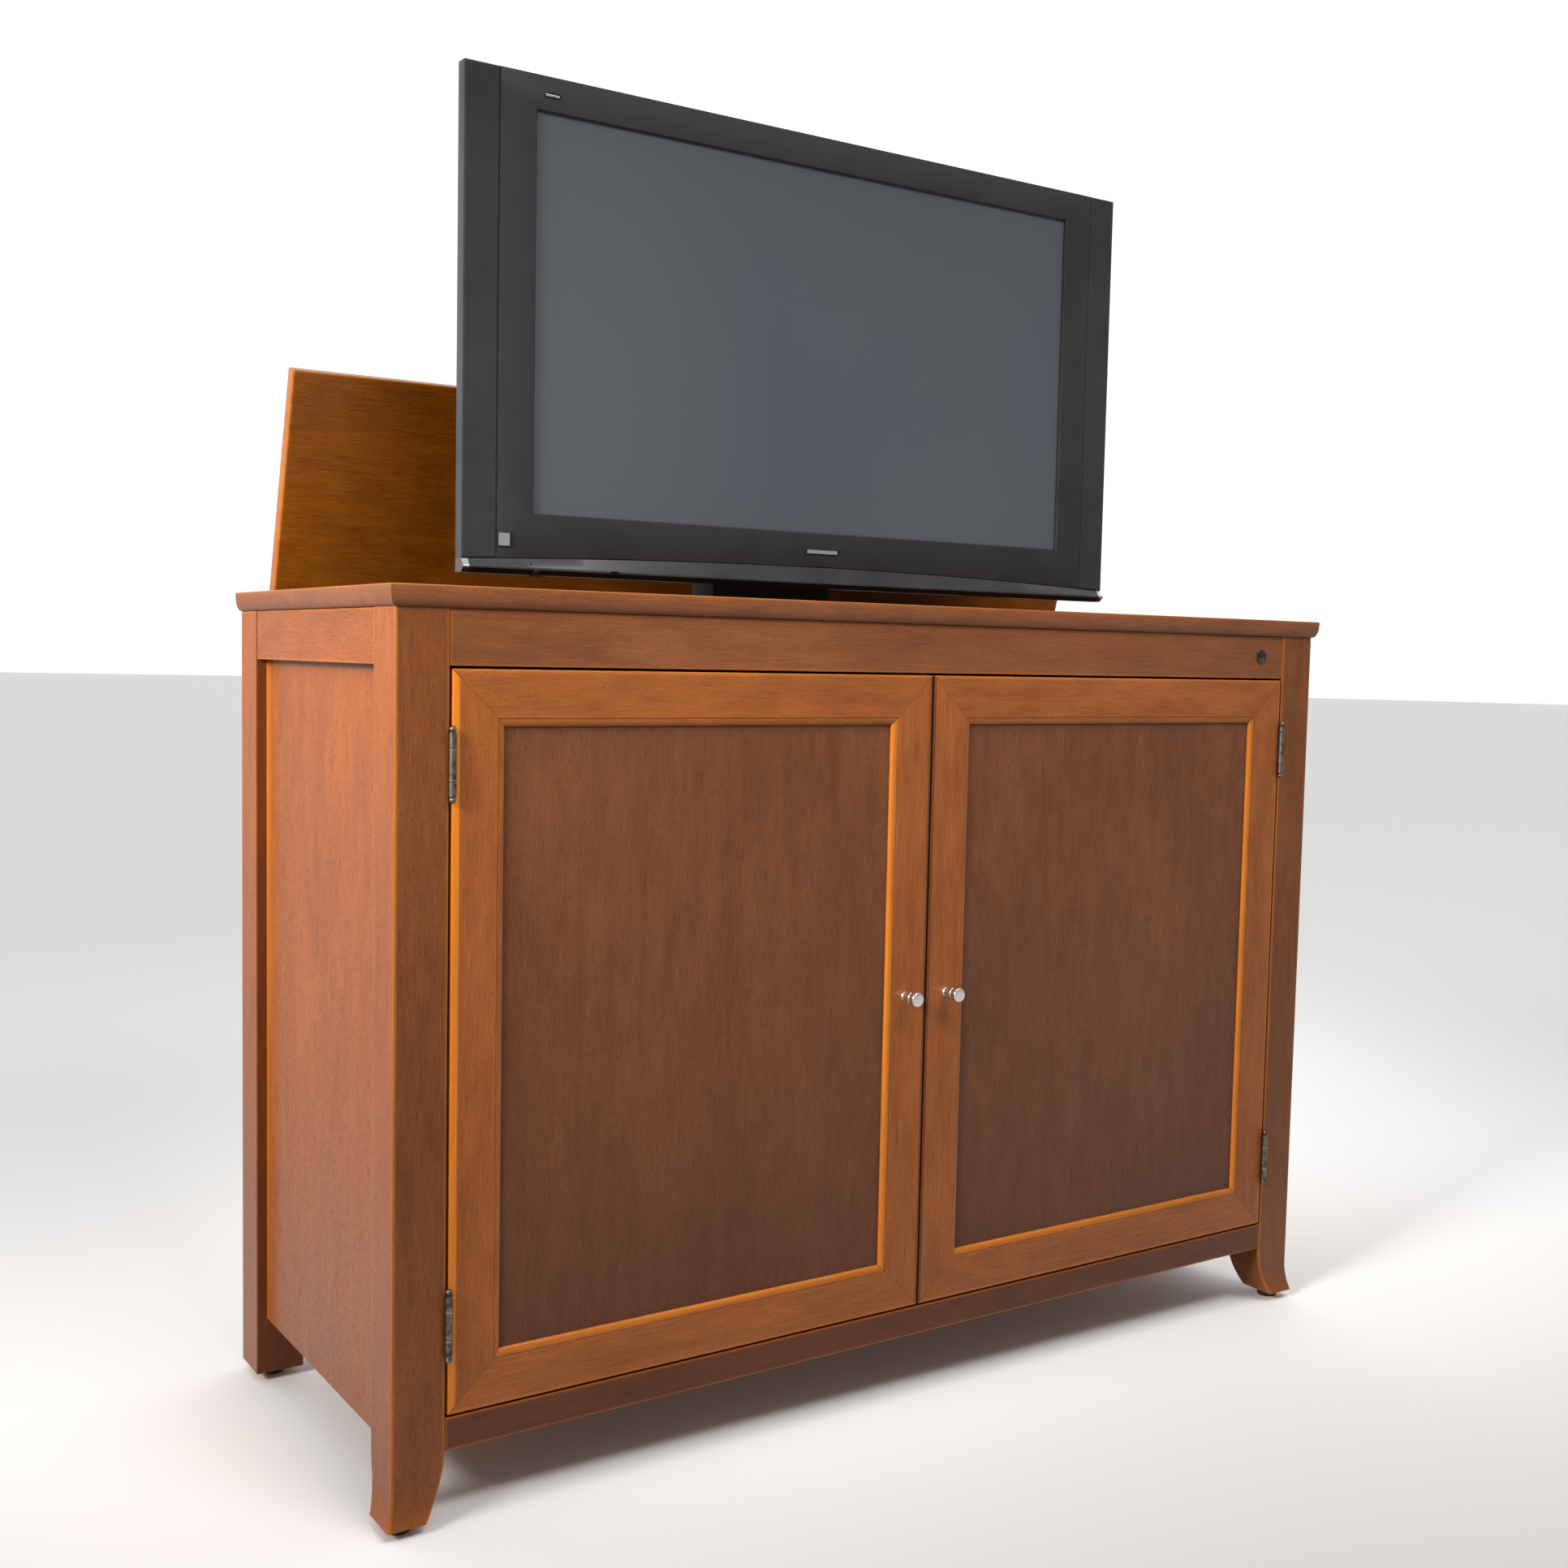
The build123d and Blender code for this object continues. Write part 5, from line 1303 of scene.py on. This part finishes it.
def make_speaker_covers():
    """A front grid with ribs and round borders, and a flat back grid, stitched."""
    piece = Workpiece()
    ease = COVER_EDGE
    inner, outer = TV["seam"] + SEAM_GAP, TV["half"]
    ribs = np.arange(inner + RIB_BORDER, outer - RIB_BORDER, RIB_PITCH / 4)
    near, far = [inner, inner + ease * 0.3, inner + ease], [outer - ease, outer - ease * 0.3, outer]
    x = np.concatenate([near, ribs, far])
    v = np.array(COVER_HEIGHTS)
    relief = RIB_DEPTH * (1 - np.cos(2 * pi * (x - ribs[0]) / RIB_PITCH)) / 2
    relief[:3] = relief[-3:] = 0
    border = np.minimum(x - inner, outer - x)
    edge_drop = ease - np.sqrt(np.maximum(ease**2 - np.maximum(ease - border, 0) ** 2, 0))
    inside = ((v > RIB_ENDS[0]) & (v < RIB_ENDS[1]))[:, None]
    end_drop = np.interp(np.minimum(v, 1 - v), v[:3], [ease, ease * 0.35, 0])[:, None]
    y = TV["front"] + np.where(inside, relief[None], 0) + np.minimum(edge_drop[None] + end_drop, ease)
    low = TV["bottom"] + arched(x)[None]
    z = low + (TV["top"] - low) * v[:, None]
    for sign in (-1, 1):
        grid_x = np.broadcast_to(sign * x, y.shape)
        front = np.stack([grid_x, y, z], -1)
        back = np.stack([grid_x, np.full(y.shape, TV["back"]), z], -1)
        piece.between(front, back)
    # outer walls get the paler grey: side trim with a painted highlight
    corners_x = np.concatenate(piece.points)[np.array(piece.faces)][..., 0]
    outer_wall = np.all(np.abs(corners_x) > TV["half"] - 1e-5, axis=1)
    piece.finish_numbers = outer_wall.astype(int).tolist()
    finishes = [FINISH["speaker"], FINISH["bezel_side_trim_and_light"]]
    replaced = ("tv_speaker_covers",)
    piece.finish("ribbed_speaker_covers", "tv_carriage", "speaker_cloth", finishes, replaced, radians(30))


make_speaker_covers()

# %% [markdown]
# The lower trim closes the arch. Its upper face slopes forward to a thin straight lip, and its
# underside runs back into shadow. The section changes along x only in where its top is, so one
# sweep makes it. A shallow notch below leaves room for the power button, and satin metal caps of
# the same section wrap both ends.

# %% Lower trim and caps
NOTCH = 0.0062
NOTCH_GAP = 0.0004
LIP_HEIGHT = 0.0026
LIP_DROP = 0.009


def trim_section(x, raised):
    """(y, z) round the trim at x: top back, top front, slope, round lip, underside."""
    box_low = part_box("tv_lower_trim")[0]
    top = TV["bottom"] - SEAM_GAP + arched(x)
    lip_y, lip_z = box_low.y, TV["bottom"] - LIP_DROP
    bottom = box_low.z + (NOTCH if raised else 0.0)
    return [
        (TV["back"], top), (TV["front"] + 0.0015, top), (TV["front"] + 0.0004, top - 0.0009),
        (lip_y + 0.0012, lip_z + 0.0006), (lip_y + 0.0003, lip_z), (lip_y, lip_z - 0.0008),
        (lip_y + 0.0002, lip_z - LIP_HEIGHT), (lip_y + 0.0014, lip_z - LIP_HEIGHT - 0.0005),
        (lip_y + 0.0060, max(bottom, box_low.z + 0.0015)), (lip_y + 0.0085, bottom), (TV["back"], bottom),
    ]


def sweep_trim(piece, stations, raised):
    """Rows of the section at each x."""
    rows = [[(x, y, z) for y, z in trim_section(x, up)] for x, up in zip(stations, raised)]
    piece.tube(np.array(rows))


def make_trim():
    """The long trim with its notch, then two end caps."""
    low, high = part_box("tv_lower_trim")
    button_low, button_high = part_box("tv_power_button")
    notch = (button_low.x - NOTCH_GAP, button_high.x + NOTCH_GAP)
    left = np.linspace(low.x, notch[0], 6)
    right = np.linspace(notch[1], high.x, 48)
    stations = np.concatenate([left, notch, right])
    raised = [False] * len(left) + [True, True] + [False] * len(right)
    piece = Workpiece()
    sweep_trim(piece, stations, raised)
    replaced = ("tv_lower_trim",)
    piece.finish("sloped_trim", "tv_carriage", "trim_gloss", [FINISH["trim"]], replaced, radians(30))
    caps = Workpiece()
    for sign in (-1, 1):
        sweep_trim(caps, sign * np.linspace(high.x + 0.0002, TV["half"], 4), [False] * 4)
    finishes = [FINISH["aluminium"]]
    caps.finish("trim_end_caps", "tv_carriage", "satin_aluminium", finishes, ("tv_trim_caps",), radians(30))


make_trim()

# %% [markdown]
# Small things on the front tell the eye its scale: a plain square badge, two blank name bars, a
# dark window for the remote's sensor, a pilot lamp and the power button. All are left blank.

# %% Badges, sensor, lamp and button
BADGES = {
    "square_badge": (-0.503, 0.027, 0.018, 0.018),
    "name_bar": (0.003, 0.0355, 0.056, 0.0065),
    "corner_bar": (-0.440, 0.603, 0.022, 0.0045),
}
BADGE_PROUD = 0.0007
SENSOR_X = (-0.349, -0.337)
SENSOR_DROP = 0.0095
LAMP_X = -0.4656


def make_badges():
    """Thin eased plates on the bezel; each is (x, height above the bottom, width, height)."""
    piece = Workpiece()
    for x, rise, width, height in BADGES.values():
        z = TV["bottom"] + rise
        add_board(
            piece,
            (x - width / 2, TV["front"] - BADGE_PROUD, z - height / 2),
            (x + width / 2, TV["front"] + 0.0002, z + height / 2),
            0, 0.0003, 0.0,
        )
    piece.finish("blank_badges", "tv_carriage", "satin_aluminium", [FINISH["aluminium"]])


def make_sensor_and_lamp():
    """An eased dark window and a small dome in the trim's slope."""
    piece = Workpiece()
    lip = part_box("tv_lower_trim")[0].y
    z = TV["bottom"] - SENSOR_DROP
    low, high = (SENSOR_X[0], lip - 0.0006, z - 0.0022), (SENSOR_X[1], lip + 0.004, z + 0.0014)
    add_board(piece, low, high, 0, 0.0005, 0.0)
    lamp = [[0, -0.002], [0.0016, -0.002], [0.0016, 0.0004], [0.0011, 0.0009], [0, 0.0011]]
    middle = (LAMP_X, TV["front"] - 0.0028, TV["bottom"] - 0.0035)
    turned(piece, lamp, middle, (0, -0.8, 0.6), 20)
    piece.finish("sensor_and_lamp", "tv_carriage", "eye_lens", [FINISH["eye"]])


def make_button():
    """The power button: an eased bar under the trim."""
    low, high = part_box("tv_power_button")
    piece = Workpiece()
    add_board(piece, low, high, 0, 0.0007, 0.0)
    piece.finish("button_bar", "power_button", "trim_gloss", [FINISH["trim"]], ("tv_power_button",))


make_badges()
make_sensor_and_lamp()
make_button()

# %% [markdown]
# ## Back of the television
# The back is a pressed cover with sloping shoulders, rows of louvres over the hot electronics, a
# panel of sockets and screws round its rim. It can be seen from behind over the open lid, so its
# louvres are small solid blades and each socket is turned.

# %% Rear cover
SHOULDER = 0.022
TAPER = 0.013
COVER_EASE = 0.004
COVER_CORNER = 0.010
LOUVRE_ROWS = 3
LOUVRE_COUNT = 30
LOUVRE_REACH = 0.46
LOUVRE_CLEAR = 0.29
LOUVRE_SIZE = (0.005, 0.0012, 0.021)
LOUVRE_OFFSETS = (-0.0115, 0.0005)
LOUVRE_DROP = 0.075
LOUVRE_PITCH = 0.055
SUNK = 0.0005
SOCKET_PANEL = (0.085, 0.0015, 0.045)
SOCKET_PANEL_X = -0.40
SOCKET_PANEL_RISE = 0.12
SOCKETS = 5
SOCKET_PITCH = 0.03
SOCKET_ROW = 0.018


def cover_loop(half, low, high, y, radius):
    """A rounded rectangle at depth y."""
    loop, _ = eased_rectangle(half, (high - low) / 2, radius, 7, 0.004)
    return np.stack([loop[:, 0], np.full(len(loop), y), loop[:, 1] + (low + high) / 2], 1)


def make_rear_cover():
    """Loops from the bezel back: straight wall, soft shoulder line, slope, soft line, flat back."""
    low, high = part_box("tv_rear_cover")
    y0, y2 = low.y + 0.0002, high.y
    y1 = y2 - SHOULDER
    e = COVER_EASE
    inner = SHOULDER + TAPER
    steps = [
        (0.0005, y0), (0, y0 + 0.0008), (0.001, y0 + 0.004), (TAPER, y1 - e), (TAPER + 0.003, y1 + e * 0.4),
        (inner - 0.004, y2 - e * 0.9), (inner - 0.001, y2 - e * 0.2), (inner + 0.003, y2),
        (inner + 0.02, y2),
    ]
    rows = [cover_loop(high.x - s, low.z + s, high.z - s, y, COVER_CORNER) for s, y in steps]
    piece = Workpiece()
    piece.tube(np.array(rows))
    finishes, replaced = [FINISH["rear"]], ("tv_rear_cover",)
    piece.finish("rear_cover_shell", "tv_carriage", "black_plastic", finishes, replaced, radians(50))


def make_louvres():
    """Small blades in rows across the upper back, left clear where the bracket's arms lie."""
    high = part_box("tv_rear_cover")[1]
    piece = Workpiece()
    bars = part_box("tv_mount_bracket")
    width, proud, half = LOUVRE_SIZE
    for x in np.linspace(-LOUVRE_REACH, LOUVRE_REACH, LOUVRE_COUNT):
        if bars[0].x - 0.02 < x < bars[1].x + 0.02 and abs(x) < LOUVRE_CLEAR:
            continue
        for row in range(LOUVRE_ROWS):
            z = high.z - LOUVRE_DROP - LOUVRE_PITCH * row
            for offset in LOUVRE_OFFSETS:
                corner = (x + offset, high.y - SUNK, z - half)
                add_board(piece, corner, (x + (offset + width), high.y + proud, z + half), 2, 0.0005, 0.0)
    piece.finish("rear_louvres", "tv_carriage", "black_plastic", [FINISH["glide"]])


def make_sockets():
    """A raised panel with two rows of round sockets and their contacts."""
    low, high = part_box("tv_rear_cover")
    piece = Workpiece()
    x, z = SOCKET_PANEL_X, low.z + SOCKET_PANEL_RISE
    wide, proud, tall = SOCKET_PANEL
    corner = (x - wide, high.y - SUNK, z - tall)
    add_board(piece, corner, (x + wide, high.y + proud, z + tall), 0, 0.001, 0.0)
    shell = [
        [0, 0], [0.0052, 0], [0.0052, 0.0052], [0.0046, 0.0058], [0.0036, 0.0058], [0.0034, 0.0050],
        [0.0034, 0.0012], [0, 0.0012],
    ]
    pin = [[0, 0.001], [0.0014, 0.001], [0.0014, 0.0050], [0.0010, 0.0054], [0, 0.0054]]
    for column in range(SOCKETS):
        for row in (-1, 1):
            seat = (x - 0.06 + SOCKET_PITCH * column, high.y + 0.0012, z + SOCKET_ROW * row)
            turned(piece, shell, seat, (0, 1, 0), 20, finish=1 if row > 0 else 0)
            turned(piece, pin, seat, (0, 1, 0), 12, finish=1)
    piece.finish("socket_panel", "tv_carriage", "black_plastic", [FINISH["rear"], FINISH["contact"]])


make_rear_cover()
make_louvres()
make_sockets()

# %% [markdown]
# ## Screws and bolts
# A pan head is a low dome with a drive recess in its middle. At this size the recess reads as one
# dark dimple, so the lathe turns dome and dimple together. Hexagon heads need no recess: they are
# the same lathe with six sides.

# %% Fasteners
SCREW_RADIUS = 0.0034
SCREW_INSET = 0.014
GROMMET_RADIUS = 0.030
GROMMET_X = 0.480
GROMMET_Z = 0.260
BOLT_INSET = 0.022
ARM_BOLTS_X = 0.2
ARM_BOLTS_Z = (1.28, 1.33, 1.59, 1.64)
ARM_DEPTH = 0.015


def add_screw(piece, place_of, axis):
    """A pan head: a low dome with a small recess in the middle."""
    radius = SCREW_RADIUS
    profile = np.concatenate([
        [[0, -0.001], [radius, -0.001], [radius, 0.0002]],
        [[radius * np.cos(t), 0.0002 + radius * 0.34 * np.sin(t)] for t in np.linspace(0.2, 1.15, 5)],
        [[radius * 0.30, radius * 0.20], [0, radius * 0.12]],
    ])
    turned(piece, profile, place_of, axis, 18)


def add_hexagon(piece, place_of, axis, radius=0.0075, height=0.005):
    """A hexagon bolt head on a round washer."""
    washer, thick = radius * 1.35, 0.0014
    crown = height + 0.0009
    turned(piece, [[0, 0], [washer, 0], [washer, thick], [0, thick]], place_of, axis, 28)
    head = [[0, thick], [radius, thick], [radius, height], [radius * 0.86, crown], [0, crown]]
    turned(piece, head, place_of, axis, 6)


def make_back_screws():
    """Screws round the cabinet's back panel, evenly spaced."""
    low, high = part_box("back_panel")
    piece = Workpiece()
    inset = SCREW_INSET
    for x in np.linspace(low.x + inset, high.x - inset, 9):
        for z in (low.z + inset, high.z - inset):
            add_screw(piece, (x, high.y, z), (0, 1, 0))
    for z in np.linspace(low.z + inset, high.z - inset, 6)[1:-1]:
        for x in (low.x + inset, high.x - inset):
            add_screw(piece, (x, high.y, z), (0, 1, 0))
    piece.finish("back_panel_screws", "cabinet", "zinc_steel", [FINISH["zinc"]])


def make_grommets():
    """A ring with a round lip in each cable hole."""
    low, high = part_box("back_panel")
    piece = Workpiece()
    thick = high.y - low.y
    hole = GROMMET_RADIUS
    section = np.concatenate([
        arc((hole + 0.0045, thick + 0.0012), 0.0012, 0, 90, 4),
        arc((hole - 0.0020, thick + 0.0002), 0.0022, 90, 180, 5),
        arc((hole - 0.0030, -0.0002), 0.0012, 180, 270, 4),
        [[hole - 0.0004, -0.0014], [hole - 0.0002, thick], [hole + 0.0057, thick]],
    ])
    angle = np.linspace(0, 2 * pi, 48, endpoint=False)[:, None]
    radius, depth = section[:, 0], np.broadcast_to(low.y + section[:, 1], (len(angle), len(section)))
    for x in (-GROMMET_X, GROMMET_X):
        across, up = x + radius * np.cos(angle), GROMMET_Z + radius * np.sin(angle)
        piece.ring(np.stack([across, depth, up], -1))
    piece.finish("cable_grommets", "cabinet", "black_plastic", [FINISH["rear"]])


def make_lift_bolts():
    """Bolts on the lift's base plate, and on the bracket's arms where they hold the television."""
    base_low, base_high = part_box("lift_base_plate")
    piece = Workpiece()
    for x in (base_low.x + BOLT_INSET, base_high.x - BOLT_INSET):
        for y in (base_low.y + BOLT_INSET, base_high.y - BOLT_INSET):
            add_hexagon(piece, (x, y, base_high.z), (0, 0, 1))
    piece.finish("base_bolts", "cabinet", "zinc_steel", [FINISH["zinc"]])
    arms = Workpiece()
    arm_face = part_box("tv_rear_cover")[1].y + ARM_DEPTH
    for x in (-ARM_BOLTS_X, ARM_BOLTS_X):
        for z in ARM_BOLTS_Z:
            add_hexagon(arms, (x, arm_face, z), (0, 1, 0), 0.006, 0.004)
    arms.finish("bracket_bolts", "tv_carriage", "zinc_steel", [FINISH["zinc"]])


make_back_screws()
make_grommets()
make_lift_bolts()

# %% [markdown]
# ## Finishes for the parts that keep their own shape
# Flat panels, boards, leaves and steelwork already have their true shape. They keep their meshes,
# and each gets the finish of what it is made of. A weld and a narrow bevel ease the edges of the
# steelwork, the shelves and the inner boards without touching the mesh underneath.

# %% Kept parts
KEPT_WOOD = {
    "back_panel": ("X", "inner"),
    "bottom_board": ("X", "inner"),
    "well_divider": ("X", "inner"),
    "bay_partition": ("Z", "inner"),
    "adjustable_shelves": ("X", "inner"),
}
KEPT_FINISH = {
    "tv_screen_glass": "screen",
    "tv_display_panel": "display",
    "tv_mains_inlet": "glide",
    "left_door_hinge_leaves": "hinge",
    "right_door_hinge_leaves": "hinge",
    "door_hinge_post_leaves": "hinge",
    "left_door_strike_plate": "zinc",
    "right_door_strike_plate": "zinc",
    "lid_hinge_fixed_leaves": "zinc",
    "lid_hinge_moving_leaves": "zinc",
    "shelf_pins": "zinc",
    "magnetic_catches": "rear",
    "lift_control_box": "rear",
    "lift_base_plate": "steel",
    "lift_outer_column": "steel",
    "lift_inner_column": "steel",
    "tv_mount_bracket": "steel",
    "lid_lifter_bar": "steel",
    "lift_gear_motor": "casting",
    "lift_screw": "zinc",
    "lift_drive_nut": "bronze",
}
BEVEL_WIDTH = 0.0008
WELD_DISTANCE = 1e-5
EASED_PARTS = (
    "lift_base_plate", "lift_outer_column", "lift_inner_column", "tv_mount_bracket", "lift_control_box",
    "magnetic_catches", "adjustable_shelves", "well_divider", "bottom_board",
)


def dress(node, material):
    """Put one finish on a part that keeps its own mesh."""
    mesh = nodes[node].data
    mesh.materials.clear()
    mesh.materials.append(material)


def ease_edges(node):
    """Weld the loose triangles, then bevel the sharp edges, both as modifiers."""
    weld = nodes[node].modifiers.new("weld", "WELD")
    weld.merge_threshold = WELD_DISTANCE
    bevel = nodes[node].modifiers.new("ease", "BEVEL")
    bevel.width = BEVEL_WIDTH
    bevel.segments = 2
    bevel.limit_method = "ANGLE"
    bevel.angle_limit = radians(50)


for node, (along, tone) in KEPT_WOOD.items():
    dress(node, wood(node, along, tone))
for node, finish in KEPT_FINISH.items():
    dress(node, FINISH[finish])
for node in EASED_PARTS:
    ease_edges(node)
